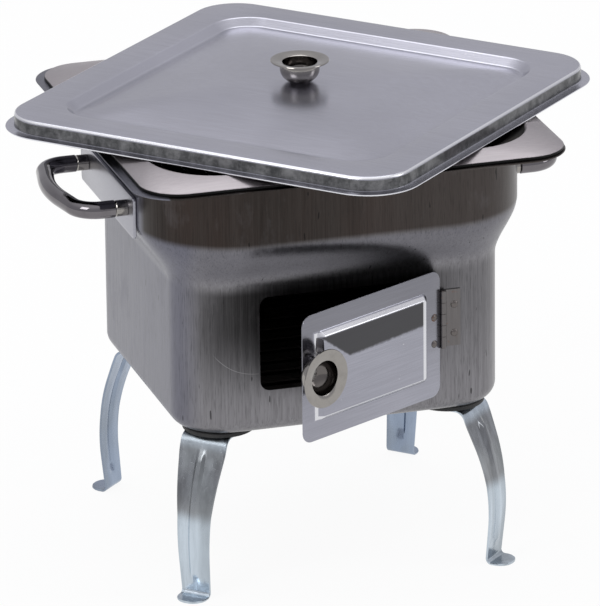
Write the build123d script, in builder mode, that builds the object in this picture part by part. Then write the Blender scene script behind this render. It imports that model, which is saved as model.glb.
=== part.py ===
from build123d import *
import os
from math import atan2, cos, hypot, pi, radians, sin, sqrt, tan

# A square tabletop charcoal barbecue: a deep drawn steel tub on four strip legs, a hinged fire door,
# a loop handle on each side, a drop-in cooking frame with its grate, and a loose pressed lid.
# Millimetres. Z is up, the origin is on the ground under the middle of the tub, and the door faces -Y.

# Sheet and running clearances
sheet = 1.0
body_gap = 0.3
pin_clearance = 0.05
hole_clearance = 0.2

# Tub: a lower box, an S-shaped shoulder, a wider upper band and a flat rim
tub_floor_z = 131.0
tub_half = 130.5
tub_corner = 42.0
tub_floor_fillet = 12.0
box_height = 117.0
shoulder_height = 44.0
shoulder_out = 20.5
shoulder_steps = 8
band_height = 50.5
band_corner = 75.0
rim_width = 21.0
rim_corner = 36.0

# Fire door opening, in the front wall: what is left of the wall around it
opening_side = 18.5
opening_above_floor = 35.0
opening_below_shoulder = 6.0
opening_corner = 8.0

# Door hinge and door
hinge_offset = 6.0
pin_radius = 1.5
knuckle_wall = 1.0
leaf_sheet = 1.0
leaf_width = 14.5
leaf_height = 46.0
leaf_lift = 5.0
knuckle_count = 5
knuckle_gap = 0.3
door_open_angle = 28.4
door_lap_side = 6.8
door_lap_low = 18.3
door_lap_high = 8.0
door_corner = 9.0
door_margin = 15.0
door_press_depth = 4.0
door_press_corner = 5.0
rivet_shank_radius = 1.6
rivet_head_radius = 3.0
rivet_head_height = 1.2
door_rivet_reach = 9.2
door_rivet_spacing = 21.5
door_rivet_drop = 7.4
body_rivet_reach = 9.6
body_rivet_spacing = 23.2
body_rivet_drop = 1.0

# Cup knob, the same on the door and the lid
knob_rim_radius = 23.0
knob_mouth_radius = 15.0
knob_height = 18.0
knob_base_radius = 7.0
knob_sheet = 1.2
knob_lip_rise = 3.0
knob_screw_radius = 2.5
knob_screw_head_radius = 4.6
knob_screw_head_height = 2.6
knob_nut_flats_radius = 4.4
knob_nut_height = 3.6
knob_screw_end = 0.6
screw_slot_width = 1.0
screw_slot_depth = 0.9
door_knob_edge = 7.5

# Handle plates, ferrules and handles
handle_drop = 42.5
plate_below_handle = 20.0
plate_above_handle = 13.0
plate_thickness = 2.5
plate_corner = 3.0
plate_end = 19.0
ferrule_length = 10.0
ferrule_radius = 6.3
ferrule_spigot = 6.0
handle_shoulder = 25.5
handle_bow = 11.0
handle_radius = 6.75
handle_wall = 1.2
handle_bend = 19.0
handle_bow_straight = 4.0
handle_screw_radius = 2.5
handle_screw_length = 12.0
handle_screw_head_radius = 4.5
handle_screw_head_height = 2.6

# Cooking frame, dropped into the tub's mouth
frame_inset = 4.0
frame_skirt = 2.4
frame_rise = 5.0
frame_shift_x = 3.0
collar_gap = 5.0
mouth_half = 150.0
mouth_corner = 54.0
collar_over_screws = 3.5
ledge_width = 18.0

# Cooking grate, lying on the frame's ledge
grate_frame_wire = 2.5
grate_rod_wire = 1.5
grate_side_gap = 10.5
grate_corner = 78.0
grate_rod_count = 17
grate_weld = 0.6

# Charcoal grate, standing on the tub's floor
charcoal_floor_gap = 4.5
charcoal_narrowing = 6.0
charcoal_sheet = 1.5
charcoal_height = 24.0
charcoal_corner = 12.0
charcoal_slot_count = 9
charcoal_slot_width = 10.0
charcoal_slot_margin = 15.0
charcoal_bolt_gap = 13.5

# Lid
lid_clearance = 1.5
lid_corner = 35.0
lid_height = 12.5
lid_lip = 7.0
lid_top_radius = 2.5
lid_border = 30.0
lid_step = 6.0
lid_recess_depth = 6.0
lid_recess_corner = 32.0
lid_ring = 4.0
lid_crown = 10.5
lid_crown_steps = 6
lid_crown_seat = 13.0
lid_crown_seat_corner = 12.0
lid_turn_angle = -46.3

# Legs, pads, bolts and nuts
seat_inset = 38.0
pad_radius = 28.5
pad_thickness = 4.0
leg_sheet = 1.8
leg_tab_inside = 22.0
leg_shoulder_outside = 23.0
leg_bulge_outside = 47.0
leg_bulge_drop = 61.0
leg_foot_outside = 40.5
leg_toe_outside = 57.0
leg_shoulder_bend = 10.0
leg_bulge_bend = 150.0
leg_foot_bend = 3.0
leg_width_top = 40.0
leg_width_bulge = 29.0
leg_width_foot = 24.5
leg_toe_radius = 11.0
leg_rib_width = 8.0
leg_rib_rise = 2.2
leg_rib_low_z = 14.0
leg_rib_drop = 12.0
bolt_radius = 3.0
bolt_head_radius = 5.5
bolt_head_height = 3.2
nut_flats_radius = 5.0
nut_height = 5.0
bolt_end = 2.0

# Places of the tub, worked out from the sizes above
shoulder_low_z = tub_floor_z + box_height
shoulder_high_z = shoulder_low_z + shoulder_height
rim_top_z = shoulder_high_z + band_height
band_half = tub_half + shoulder_out
rim_half = band_half + rim_width
front_y = -tub_half

# Places of the opening, the hinge and the door
opening_half_width = tub_half - tub_corner - opening_side
opening_low_z = tub_floor_z + opening_above_floor
opening_high_z = shoulder_low_z - opening_below_shoulder
opening_mid_z = (opening_low_z + opening_high_z) / 2
knuckle_radius = pin_radius + knuckle_wall
hinge_x = opening_half_width + hinge_offset
hinge_y = front_y - body_gap - knuckle_radius
leaf_mid_z = opening_mid_z + leaf_lift
leaf_low_z = leaf_mid_z - leaf_height / 2
knuckle_length = leaf_height / knuckle_count
body_rivet_mid_z = leaf_mid_z - body_rivet_drop
door_rivet_mid_z = leaf_mid_z - door_rivet_drop
door_low_z = opening_low_z - door_lap_low
door_high_z = opening_high_z + door_lap_high
door_hinge_edge = -knuckle_radius - body_gap
door_free_edge = -hinge_x - opening_half_width - door_lap_side
door_width = door_hinge_edge - door_free_edge
door_outer = front_y - body_gap - leaf_sheet - sheet - hinge_y

# Places of the handles
handle_z = rim_top_z - handle_drop
plate_half_width = band_half - band_corner
plate_low_z = handle_z - plate_below_handle
plate_high_z = handle_z + plate_above_handle
handle_half_spacing = plate_half_width - plate_end
ferrule_foot = band_half + plate_thickness
tube_start = ferrule_foot + ferrule_length
handle_shoulder_reach = tube_start + handle_shoulder
handle_reach = handle_shoulder_reach + handle_bow
handle_bow_angle = atan2(handle_bow, handle_half_spacing)
handle_bend_run = handle_bend * tan((pi / 2 - handle_bow_angle) / 2)
handle_bow_run = hypot(handle_bow, handle_half_spacing) - handle_bend_run - handle_bow_straight
handle_bow_bend = handle_bow_run / tan(handle_bow_angle)
tube_bore = handle_radius - handle_wall

# Places of the frame, the grates and the lid
frame_half = rim_half - frame_inset
frame_corner = rim_corner - frame_inset
frame_edge_z = rim_top_z + body_gap + frame_skirt
frame_top_z = frame_edge_z + frame_rise
collar_half = band_half - sheet - collar_gap
collar_corner = band_corner - collar_gap
collar_low_z = handle_z + handle_screw_head_radius + collar_over_screws
grate_frame_z = collar_low_z + sheet + body_gap + grate_frame_wire
lid_half = frame_half + lid_clearance + sheet
lid_lip_z = frame_top_z + body_gap
lid_top_z = lid_lip_z + lid_height
lid_floor_z = lid_top_z - lid_recess_depth
lid_recess_half = lid_half - lid_border
lid_crown_z = lid_floor_z + lid_crown

# Places of the legs
pad_low_z = tub_floor_z - pad_thickness
leg_seat = tub_half - seat_inset
leg_seat_reach = leg_seat * sqrt(2)
leg_bulge_z = pad_low_z - leg_bulge_drop
leg_rib_high_z = pad_low_z - leg_rib_drop
leg_toe_reach = leg_seat_reach + leg_toe_outside
charcoal_half_y = tub_half - tub_floor_fillet - charcoal_floor_gap
charcoal_half_x = charcoal_half_y - charcoal_narrowing
charcoal_slot_length = 2 * (charcoal_half_x - charcoal_slot_margin)
charcoal_skirt_half = leg_seat - bolt_head_radius - charcoal_bolt_gap
seats = {
    "front_left": (-1, -1),
    "front_right": (1, -1),
    "back_right": (1, 1),
    "back_left": (-1, 1),
}
sides = {"left": -1, "right": 1}

os.makedirs("parts", exist_ok=True)


def save(part, name):
    """Name a finished piece and write it to its own file."""
    part.label = name
    export_step(part, f"parts/{name}.step")


def ease(share):
    """A smooth run from 0 to 1 that starts and ends level."""
    return share * share * (3 - 2 * share)


def tub_form(inset, top_z):
    """The drawn tub as one closed solid, with every outside surface moved in by inset."""
    with BuildPart() as form:
        with BuildSketch(Plane.XY.offset(tub_floor_z + inset)):
            RectangleRounded(2 * (tub_half - inset), 2 * (tub_half - inset), tub_corner - inset)
        extrude(amount=shoulder_low_z - tub_floor_z - inset)
        fillet(form.edges().group_by(Axis.Z)[0], tub_floor_fillet - inset)
        for step in range(shoulder_steps + 1):
            share = step / shoulder_steps
            half = tub_half + (band_half - tub_half) * ease(share) - inset
            corner = tub_corner + (band_corner - tub_corner) * ease(share) - inset
            height = shoulder_low_z + (shoulder_high_z - shoulder_low_z) * share
            with BuildSketch(Plane.XY.offset(height)):
                RectangleRounded(2 * half, 2 * half, corner)
        loft(ruled=True)
        with BuildSketch(Plane.XY.offset(shoulder_high_z)):
            RectangleRounded(2 * (band_half - inset), 2 * (band_half - inset), band_corner - inset)
        extrude(amount=top_z - shoulder_high_z)
    return form.part


# Tub: a thin drawn shell with a flat rim, the fire opening, and the holes for what bolts to it
with BuildPart() as body_tub:
    add(tub_form(0, rim_top_z))
    with BuildSketch(Plane.XY.offset(rim_top_z - sheet)):
        RectangleRounded(2 * rim_half, 2 * rim_half, rim_corner)
    extrude(amount=sheet)
    add(tub_form(sheet, rim_top_z + sheet), mode=Mode.SUBTRACT)
    with BuildSketch(Plane.XZ.offset(-front_y + sheet)):
        with Locations((0, opening_mid_z)):
            RectangleRounded(2 * opening_half_width, opening_high_z - opening_low_z, opening_corner)
    extrude(amount=-3 * sheet, mode=Mode.SUBTRACT)
    with BuildSketch(Plane.XZ.offset(-front_y + sheet)):
        for offset_z in (-body_rivet_spacing / 2, body_rivet_spacing / 2):
            with Locations((hinge_x + body_rivet_reach, body_rivet_mid_z + offset_z)):
                Circle(rivet_shank_radius)
    extrude(amount=-3 * sheet, mode=Mode.SUBTRACT)
    with BuildSketch(Plane.YZ.offset(-band_half - sheet)):
        with Locations((-handle_half_spacing, handle_z), (handle_half_spacing, handle_z)):
            Circle(handle_screw_radius + hole_clearance)
    extrude(amount=2 * (band_half + sheet), mode=Mode.SUBTRACT)
    with BuildSketch(Plane.XY.offset(tub_floor_z - sheet)):
        with GridLocations(2 * leg_seat, 2 * leg_seat, 2, 2):
            Circle(bolt_radius + hole_clearance)
    extrude(amount=3 * sheet, mode=Mode.SUBTRACT)
save(body_tub.part, "body_tub")

# Handle plates: flat straps across each side wall, under the handle roots
for side_name, side in sides.items():
    with BuildPart() as handle_plate:
        with BuildSketch(Plane.YZ.offset(side * band_half)):
            with Locations((0, (plate_low_z + plate_high_z) / 2)):
                RectangleRounded(2 * plate_half_width, plate_high_z - plate_low_z, plate_corner)
            with Locations((-handle_half_spacing, handle_z), (handle_half_spacing, handle_z)):
                Circle(handle_screw_radius + hole_clearance, mode=Mode.SUBTRACT)
        extrude(amount=side * plate_thickness)
    save(handle_plate.part, f"handle_plate_{side_name}")

# Ferrules: turned collars between plate and tube, each with a spigot inside the tube
for side_name, side in sides.items():
    with BuildPart() as handle_ferrules:
        with BuildSketch(Plane.YZ.offset(side * ferrule_foot)):
            with Locations((-handle_half_spacing, handle_z), (handle_half_spacing, handle_z)):
                Circle(ferrule_radius)
        extrude(amount=side * ferrule_length)
        with BuildSketch(Plane.YZ.offset(side * (ferrule_foot + ferrule_length))):
            with Locations((-handle_half_spacing, handle_z), (handle_half_spacing, handle_z)):
                Circle(tube_bore - hole_clearance / 2)
        extrude(amount=side * ferrule_spigot)
        with BuildSketch(Plane.YZ.offset(side * ferrule_foot)):
            with Locations((-handle_half_spacing, handle_z), (handle_half_spacing, handle_z)):
                Circle(handle_screw_radius)
        extrude(amount=side * (handle_screw_length - sheet - plate_thickness), mode=Mode.SUBTRACT)
    save(handle_ferrules.part, f"handle_ferrules_{side_name}")

# Handle screws: from inside the tub, through wall and plate into each ferrule
for side_name, side in sides.items():
    with BuildPart() as handle_screws:
        with BuildSketch(Plane.YZ.offset(side * (band_half - sheet))):
            with Locations((-handle_half_spacing, handle_z), (handle_half_spacing, handle_z)):
                Circle(handle_screw_head_radius)
        extrude(amount=-side * handle_screw_head_height)
        with BuildSketch(Plane.YZ.offset(side * (band_half - sheet))):
            with Locations((-handle_half_spacing, handle_z), (handle_half_spacing, handle_z)):
                Circle(handle_screw_radius)
        extrude(amount=side * handle_screw_length)
    save(handle_screws.part, f"handle_screws_{side_name}")

# Handles: bent tubes, open at both ends over the ferrule spigots
for side_name, side in sides.items():
    with BuildPart() as handle:
        with BuildLine() as handle_line:
            FilletPolyline(
                (side * tube_start, -handle_half_spacing, handle_z),
                (side * handle_shoulder_reach, -handle_half_spacing, handle_z),
                (side * handle_reach, 0, handle_z),
                (side * handle_shoulder_reach, handle_half_spacing, handle_z),
                (side * tube_start, handle_half_spacing, handle_z),
                radius=[handle_bend, handle_bow_bend, handle_bend],
            )
        with BuildSketch(Plane(handle_line.line @ 0, z_dir=handle_line.line % 0)):
            Circle(handle_radius)
            Circle(tube_bore, mode=Mode.SUBTRACT)
        sweep()
    save(handle.part, f"handle_{side_name}")

# Cooking frame: a turned-down edge, a flange that rises to its mouth, a funnel from there down to the
# collar, and a ledge for the grate
with BuildPart() as grill_frame:
    with BuildSketch(Plane.XY.offset(rim_top_z + body_gap)):
        with Locations((frame_shift_x, 0)):
            RectangleRounded(2 * frame_half, 2 * frame_half, frame_corner)
    extrude(amount=frame_skirt)
    with BuildSketch(Plane.XY.offset(frame_edge_z)):
        with Locations((frame_shift_x, 0)):
            RectangleRounded(2 * frame_half, 2 * frame_half, frame_corner)
    with BuildSketch(Plane.XY.offset(frame_top_z)):
        with Locations((frame_shift_x, 0)):
            RectangleRounded(2 * mouth_half, 2 * mouth_half, mouth_corner)
    loft(ruled=True)
    with BuildSketch(Plane.XY.offset(rim_top_z + body_gap)):
        with Locations((frame_shift_x, 0)):
            RectangleRounded(2 * (frame_half - sheet), 2 * (frame_half - sheet), frame_corner - sheet)
    extrude(amount=frame_skirt - sheet, mode=Mode.SUBTRACT)
    with BuildSketch(Plane.XY.offset(frame_edge_z - sheet)):
        with Locations((frame_shift_x, 0)):
            RectangleRounded(2 * (frame_half - sheet), 2 * (frame_half - sheet), frame_corner - sheet)
    with BuildSketch(Plane.XY.offset(frame_top_z - sheet)):
        with Locations((frame_shift_x, 0)):
            RectangleRounded(2 * mouth_half, 2 * mouth_half, mouth_corner)
    loft(ruled=True, mode=Mode.SUBTRACT)
    with BuildSketch(Plane.XY.offset(collar_low_z)):
        with Locations((frame_shift_x, 0)):
            RectangleRounded(2 * collar_half, 2 * collar_half, collar_corner)
    extrude(amount=frame_edge_z - sheet - collar_low_z)
    with BuildSketch(Plane.XY.offset(frame_edge_z - sheet)):
        with Locations((frame_shift_x, 0)):
            RectangleRounded(2 * collar_half, 2 * collar_half, collar_corner)
    with BuildSketch(Plane.XY.offset(frame_top_z)):
        with Locations((frame_shift_x, 0)):
            RectangleRounded(2 * mouth_half, 2 * mouth_half, mouth_corner)
    loft(ruled=True)
    with BuildSketch(Plane.XY.offset(collar_low_z + sheet)):
        with Locations((frame_shift_x, 0)):
            RectangleRounded(2 * (collar_half - sheet), 2 * (collar_half - sheet), collar_corner - sheet)
    extrude(amount=frame_edge_z - 2 * sheet - collar_low_z, mode=Mode.SUBTRACT)
    with BuildSketch(Plane.XY.offset(frame_edge_z - sheet)):
        with Locations((frame_shift_x, 0)):
            RectangleRounded(2 * (collar_half - sheet), 2 * (collar_half - sheet), collar_corner - sheet)
    with BuildSketch(Plane.XY.offset(frame_top_z)):
        with Locations((frame_shift_x, 0)):
            RectangleRounded(2 * (mouth_half - sheet), 2 * (mouth_half - sheet), mouth_corner - sheet)
    loft(ruled=True, mode=Mode.SUBTRACT)
    with BuildSketch(Plane.XY.offset(collar_low_z)):
        with Locations((frame_shift_x, 0)):
            ledge_half = collar_half - sheet - ledge_width
            RectangleRounded(2 * ledge_half, 2 * ledge_half, collar_corner - sheet - ledge_width)
    extrude(amount=sheet, mode=Mode.SUBTRACT)
save(grill_frame.part, "grill_frame")

# Cooking grate: a bent square of thick wire with thinner rods welded across it
grate_half = collar_half - sheet - grate_side_gap - grate_frame_wire
rod_z = grate_frame_z + grate_frame_wire + grate_rod_wire - grate_weld
rod_pitch = 2 * grate_half / (grate_rod_count + 1)
with BuildSketch(Plane.XY.offset(grate_frame_z)) as grate_outline:
    with Locations((frame_shift_x, 0)):
        RectangleRounded(2 * grate_half, 2 * grate_half, grate_corner)
grate_loop = grate_outline.sketch.faces()[0].outer_wire()
with BuildPart() as cooking_grate:
    with BuildSketch(Plane(grate_loop @ 0, z_dir=grate_loop % 0)):
        Circle(grate_frame_wire)
    sweep(path=grate_loop)
    for rod in range(grate_rod_count):
        rod_x = -grate_half + rod_pitch * (rod + 1)
        inset_x = max(0, abs(rod_x) - (grate_half - grate_corner))
        rod_half = grate_half - grate_corner + sqrt(grate_corner**2 - inset_x**2)
        with BuildSketch(Plane.XZ.offset(-rod_half)):
            with Locations((frame_shift_x + rod_x, rod_z)):
                Circle(grate_rod_wire)
        extrude(amount=2 * rod_half)
save(cooking_grate.part, "cooking_grate")

# Charcoal grate: a slotted plate with its two long edges folded down to stand on the tub's floor
charcoal_low_z = tub_floor_z + sheet + body_gap
charcoal_top_z = charcoal_low_z + charcoal_height
with BuildPart() as charcoal_grate:
    with BuildSketch(Plane.XY.offset(charcoal_top_z - charcoal_sheet)):
        RectangleRounded(2 * charcoal_half_x, 2 * charcoal_half_y, charcoal_corner)
        with GridLocations(0, 2 * charcoal_half_y / (charcoal_slot_count + 1), 1, charcoal_slot_count):
            SlotOverall(charcoal_slot_length, charcoal_slot_width, mode=Mode.SUBTRACT)
    extrude(amount=charcoal_sheet)
    for edge_y in (-1, 1):
        with BuildSketch(Plane.XY.offset(charcoal_low_z)):
            with Locations((0, edge_y * (charcoal_half_y - charcoal_sheet / 2))):
                Rectangle(2 * charcoal_skirt_half, charcoal_sheet)
        extrude(amount=charcoal_height - charcoal_sheet)
save(charcoal_grate.part, "charcoal_grate")


# The lid's own frame: its middle lies over the cooking frame's, and it is turned on it
lid_across = (cos(radians(lid_turn_angle)), sin(radians(lid_turn_angle)), 0)
lid_plane = Plane(origin=(frame_shift_x, 0, 0), x_dir=lid_across, z_dir=(0, 0, 1))


def lid_form(inset, low_z):
    """The lid's block with its sunk and crowned panel, every outside surface moved in by inset."""
    recess_half = lid_recess_half + inset
    floor_half = recess_half - lid_step
    floor_corner = lid_recess_corner + inset - lid_step
    crown_half = floor_half - lid_ring
    crown_corner = floor_corner - lid_ring
    with BuildPart() as form:
        with BuildSketch(lid_plane.offset(low_z)):
            RectangleRounded(2 * (lid_half - inset), 2 * (lid_half - inset), lid_corner - inset)
        extrude(amount=lid_top_z - inset - low_z)
        fillet(form.edges().group_by(Axis.Z)[-1], lid_top_radius - inset)
        with BuildSketch(lid_plane.offset(lid_top_z - inset)):
            RectangleRounded(2 * recess_half, 2 * recess_half, lid_recess_corner + inset)
        with BuildSketch(lid_plane.offset(lid_floor_z - inset)):
            RectangleRounded(2 * floor_half, 2 * floor_half, floor_corner)
        loft(ruled=True, mode=Mode.SUBTRACT)
        for step in range(lid_crown_steps + 1):
            share = step / lid_crown_steps
            half = crown_half + (lid_crown_seat - crown_half) * share
            corner = crown_corner + (lid_crown_seat_corner - crown_corner) * share
            height = lid_crown * (1 - (1 - share) ** 2)
            with BuildSketch(lid_plane.offset(lid_floor_z - inset + height)):
                RectangleRounded(2 * half, 2 * half, corner)
        loft(ruled=True)
    return form.part


# Lid: a pressed sheet with a raised border, a sunk panel crowned towards its knob, and an outward lip
with BuildPart() as lid_shell:
    add(lid_form(0, lid_lip_z))
    with BuildSketch(lid_plane.offset(lid_lip_z)):
        lip_half = lid_half + lid_lip
        RectangleRounded(2 * lip_half, 2 * lip_half, lid_corner + lid_lip)
    extrude(amount=sheet)
    add(lid_form(sheet, lid_lip_z), mode=Mode.SUBTRACT)
    with BuildSketch(lid_plane.offset(lid_crown_z)):
        Circle(knob_screw_radius + hole_clearance)
    extrude(amount=-sheet, mode=Mode.SUBTRACT)
save(lid_shell.part, "lid_shell")


def cup_knob(plane):
    """A spun cup with a flared lip, standing on the plane with its mouth away from it."""
    bowl_top = knob_height - knob_lip_rise
    with BuildPart() as knob:
        with BuildSketch(Plane.XZ) as section:
            with BuildLine():
                outer_bowl = RadiusArc((knob_base_radius, 0), (knob_mouth_radius, bowl_top), -knob_height)
                lip_under = Line(outer_bowl @ 1, (knob_rim_radius, knob_height - knob_sheet))
                lip_edge = Line(lip_under @ 1, (knob_rim_radius, knob_height))
                lip_top = Line(lip_edge @ 1, (knob_mouth_radius - knob_sheet, bowl_top + knob_sheet))
                inner_base = (knob_base_radius - knob_sheet, knob_sheet)
                inner_bowl = RadiusArc(lip_top @ 1, inner_base, knob_height)
                Polyline(
                    inner_bowl @ 1,
                    (knob_screw_radius + hole_clearance, knob_sheet),
                    (knob_screw_radius + hole_clearance, 0),
                    (knob_base_radius, 0),
                )
            make_face()
        revolve(axis=Axis.Z)
    return plane.location * knob.part


def cup_knob_screw(plane, shank_length):
    """A slotted pan head screw inside a cup knob, its shank going back through what the knob stands on."""
    with BuildPart() as screw:
        with BuildSketch(Plane.XY.offset(knob_sheet)):
            Circle(knob_screw_head_radius)
        extrude(amount=knob_screw_head_height)
        chamfer(screw.edges().group_by(Axis.Z)[-1], knob_screw_head_height / 4)
        with BuildSketch(Plane.XY.offset(knob_sheet + knob_screw_head_height)):
            Rectangle(2 * knob_screw_head_radius, screw_slot_width)
        extrude(amount=-screw_slot_depth, mode=Mode.SUBTRACT)
        with BuildSketch(Plane.XY.offset(knob_sheet)):
            Circle(knob_screw_radius)
        extrude(amount=-knob_sheet - shank_length)
    return plane.location * screw.part


# Lid knob, with its screw and the nut under the lid
lid_knob_plane = lid_plane.offset(lid_crown_z)
lid_shank = sheet + knob_nut_height + knob_screw_end
save(cup_knob(lid_knob_plane), "lid_knob")
save(cup_knob_screw(lid_knob_plane, lid_shank), "lid_knob_screw")
with BuildPart() as lid_knob_nut:
    with BuildSketch(lid_plane.offset(lid_crown_z - sheet)):
        RegularPolygon(knob_nut_flats_radius, 6, major_radius=False)
        Circle(knob_screw_radius, mode=Mode.SUBTRACT)
    extrude(amount=-knob_nut_height)
save(lid_knob_nut.part, "lid_knob_nut")

# The door swings in a plane through the hinge axis. Its own x runs from the free edge to the hinge,
# its own y is up, and its own z points out of the fire opening.
door_x = (cos(radians(door_open_angle)), sin(radians(door_open_angle)), 0)
door_z = (sin(radians(door_open_angle)), -cos(radians(door_open_angle)), 0)
door_plane = Plane(origin=(hinge_x, hinge_y, 0), x_dir=door_x, z_dir=door_z)
door_mid_x = (door_hinge_edge + door_free_edge) / 2
door_mid_z = (door_low_z + door_high_z) / 2
door_height = door_high_z - door_low_z
door_face = -door_outer
door_knob_x = door_free_edge + door_knob_edge


def door_form(back, press_back):
    """The door's plate and its raised panel, as a solid up to the given heights off the hinge axis."""
    press_width = door_width - 2 * door_margin
    press_height = door_height - 2 * door_margin
    with BuildPart() as form:
        with BuildSketch(door_plane.offset(back)):
            with Locations((door_mid_x, door_mid_z)):
                RectangleRounded(press_width, press_height, door_press_corner)
        with BuildSketch(door_plane.offset(press_back)):
            with Locations((door_mid_x, door_mid_z)):
                top_width = press_width - 2 * door_press_depth
                top_height = press_height - 2 * door_press_depth
                RectangleRounded(top_width, top_height, door_press_corner / 2)
        loft(ruled=True)
    return form.part


# Door: a flat sheet with a panel pressed outwards
with BuildPart() as door_panel:
    with BuildSketch(door_plane.offset(door_face - sheet)):
        with Locations((door_mid_x, door_mid_z)):
            RectangleRounded(door_width, door_height, door_corner)
    extrude(amount=sheet)
    add(door_form(door_face, door_face + door_press_depth))
    add(door_form(door_face - sheet, door_face + door_press_depth - sheet), mode=Mode.SUBTRACT)
    with BuildSketch(door_plane.offset(door_face)):
        with Locations((door_knob_x, opening_mid_z)):
            Circle(knob_screw_radius)
        for offset_z in (-door_rivet_spacing / 2, door_rivet_spacing / 2):
            with Locations((-door_rivet_reach, door_rivet_mid_z + offset_z)):
                Circle(rivet_shank_radius)
    extrude(amount=-sheet, mode=Mode.SUBTRACT)
save(door_panel.part, "door_panel")

# Door knob, with a screw whose end is flush with the back of the door
door_knob_place = door_plane.from_local_coords((door_knob_x, opening_mid_z, door_face))
door_knob_plane = Plane(origin=door_knob_place, x_dir=door_x, z_dir=door_z)
save(cup_knob(door_knob_plane), "door_knob")
save(cup_knob_screw(door_knob_plane, sheet), "door_knob_screw")

# Body leaf of the hinge: on the tub's front wall, with every other knuckle
with BuildPart() as hinge_leaf_body:
    with BuildSketch(Plane.XY.offset(leaf_low_z)):
        with Locations((hinge_x + leaf_width / 2, front_y - leaf_sheet / 2)):
            Rectangle(leaf_width, leaf_sheet)
        with Locations((hinge_x, hinge_y)):
            Circle(knuckle_radius)
    extrude(amount=leaf_height)
    for knuckle in range(1, knuckle_count, 2):
        with BuildSketch(Plane.XY.offset(leaf_low_z + knuckle * knuckle_length - knuckle_gap / 2)):
            with Locations((hinge_x, hinge_y)):
                Circle(knuckle_radius + body_gap)
        extrude(amount=knuckle_length + knuckle_gap, mode=Mode.SUBTRACT)
    with BuildSketch(Plane.XY.offset(leaf_low_z)):
        with Locations((hinge_x, hinge_y)):
            Circle(pin_radius)
    extrude(amount=leaf_height, mode=Mode.SUBTRACT)
    with BuildSketch(Plane.XZ.offset(-front_y)):
        for offset_z in (-body_rivet_spacing / 2, body_rivet_spacing / 2):
            with Locations((hinge_x + body_rivet_reach, body_rivet_mid_z + offset_z)):
                Circle(rivet_shank_radius)
    extrude(amount=leaf_sheet, mode=Mode.SUBTRACT)
save(hinge_leaf_body.part, "hinge_leaf_body")

# Door leaf of the hinge: behind the door, with the knuckles in between
leaf_face = door_face - sheet
with BuildPart() as hinge_leaf_door:
    for knuckle in range(1, knuckle_count, 2):
        with BuildSketch(Plane.XY.offset(leaf_low_z + knuckle * knuckle_length + knuckle_gap / 2)):
            with Locations((hinge_x, hinge_y)):
                Circle(knuckle_radius)
        extrude(amount=knuckle_length - knuckle_gap)
    with BuildSketch(door_plane.offset(leaf_face - leaf_sheet)):
        with Locations((door_hinge_edge - leaf_width / 2, leaf_mid_z)):
            Rectangle(leaf_width, leaf_height)
        for knuckle in range(1, knuckle_count, 2):
            with Locations((door_hinge_edge / 2, leaf_low_z + (knuckle + 0.5) * knuckle_length)):
                Rectangle(-door_hinge_edge, knuckle_length - knuckle_gap)
    extrude(amount=leaf_sheet)
    with BuildSketch(Plane.XY.offset(leaf_low_z)):
        with Locations((hinge_x, hinge_y)):
            Circle(pin_radius + pin_clearance)
    extrude(amount=leaf_height, mode=Mode.SUBTRACT)
    with BuildSketch(door_plane.offset(leaf_face)):
        for offset_z in (-door_rivet_spacing / 2, door_rivet_spacing / 2):
            with Locations((-door_rivet_reach, door_rivet_mid_z + offset_z)):
                Circle(rivet_shank_radius)
    extrude(amount=-leaf_sheet, mode=Mode.SUBTRACT)
save(hinge_leaf_door.part, "hinge_leaf_door")

# Hinge pin: held in the body leaf's knuckles, running free in the door leaf's
with BuildPart() as hinge_pin:
    with BuildSketch(Plane.XY.offset(leaf_low_z)):
        with Locations((hinge_x, hinge_y)):
            Circle(pin_radius)
    extrude(amount=leaf_height)
    for end_z, growth in ((leaf_low_z, -1), (leaf_low_z + leaf_height, 1)):
        with BuildSketch(Plane.XY.offset(end_z)):
            with Locations((hinge_x, hinge_y)):
                Circle(pin_radius + knuckle_wall / 2)
        extrude(amount=growth * knuckle_wall / 2)
save(hinge_pin.part, "hinge_pin")

# Rivets: a low head on the outside, a shank through the sheets, and a small upset end behind
with BuildPart() as hinge_rivets_body:
    for offset_z in (-body_rivet_spacing / 2, body_rivet_spacing / 2):
        rivet_place = (hinge_x + body_rivet_reach, body_rivet_mid_z + offset_z)
        with BuildSketch(Plane.XZ.offset(-front_y + leaf_sheet)):
            with Locations(rivet_place):
                Circle(rivet_head_radius)
        extrude(amount=rivet_head_height, taper=25)
        with BuildSketch(Plane.XZ.offset(-front_y - sheet)):
            with Locations(rivet_place):
                Circle(rivet_shank_radius)
        extrude(amount=sheet + leaf_sheet)
        with BuildSketch(Plane.XZ.offset(-front_y - sheet)):
            with Locations(rivet_place):
                Circle(rivet_head_radius)
        extrude(amount=-rivet_head_height)
save(hinge_rivets_body.part, "hinge_rivets_body")

with BuildPart() as hinge_rivets_door:
    for offset_z in (-door_rivet_spacing / 2, door_rivet_spacing / 2):
        rivet_place = (-door_rivet_reach, door_rivet_mid_z + offset_z)
        with BuildSketch(door_plane.offset(door_face)):
            with Locations(rivet_place):
                Circle(rivet_head_radius)
        extrude(amount=rivet_head_height, taper=25)
        with BuildSketch(door_plane.offset(door_face)):
            with Locations(rivet_place):
                Circle(rivet_shank_radius)
        extrude(amount=-sheet - leaf_sheet)
save(hinge_rivets_door.part, "hinge_rivets_door")

# Pads: discs under the tub's corners that spread the legs' bolts
for seat_name, (seat_x, seat_y) in seats.items():
    with BuildPart() as leg_pad:
        with BuildSketch(Plane.XY.offset(pad_low_z)):
            with Locations((seat_x * leg_seat, seat_y * leg_seat)):
                Circle(pad_radius)
                Circle(bolt_radius + hole_clearance, mode=Mode.SUBTRACT)
        extrude(amount=pad_thickness)
    save(leg_pad.part, f"leg_pad_{seat_name}")


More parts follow.
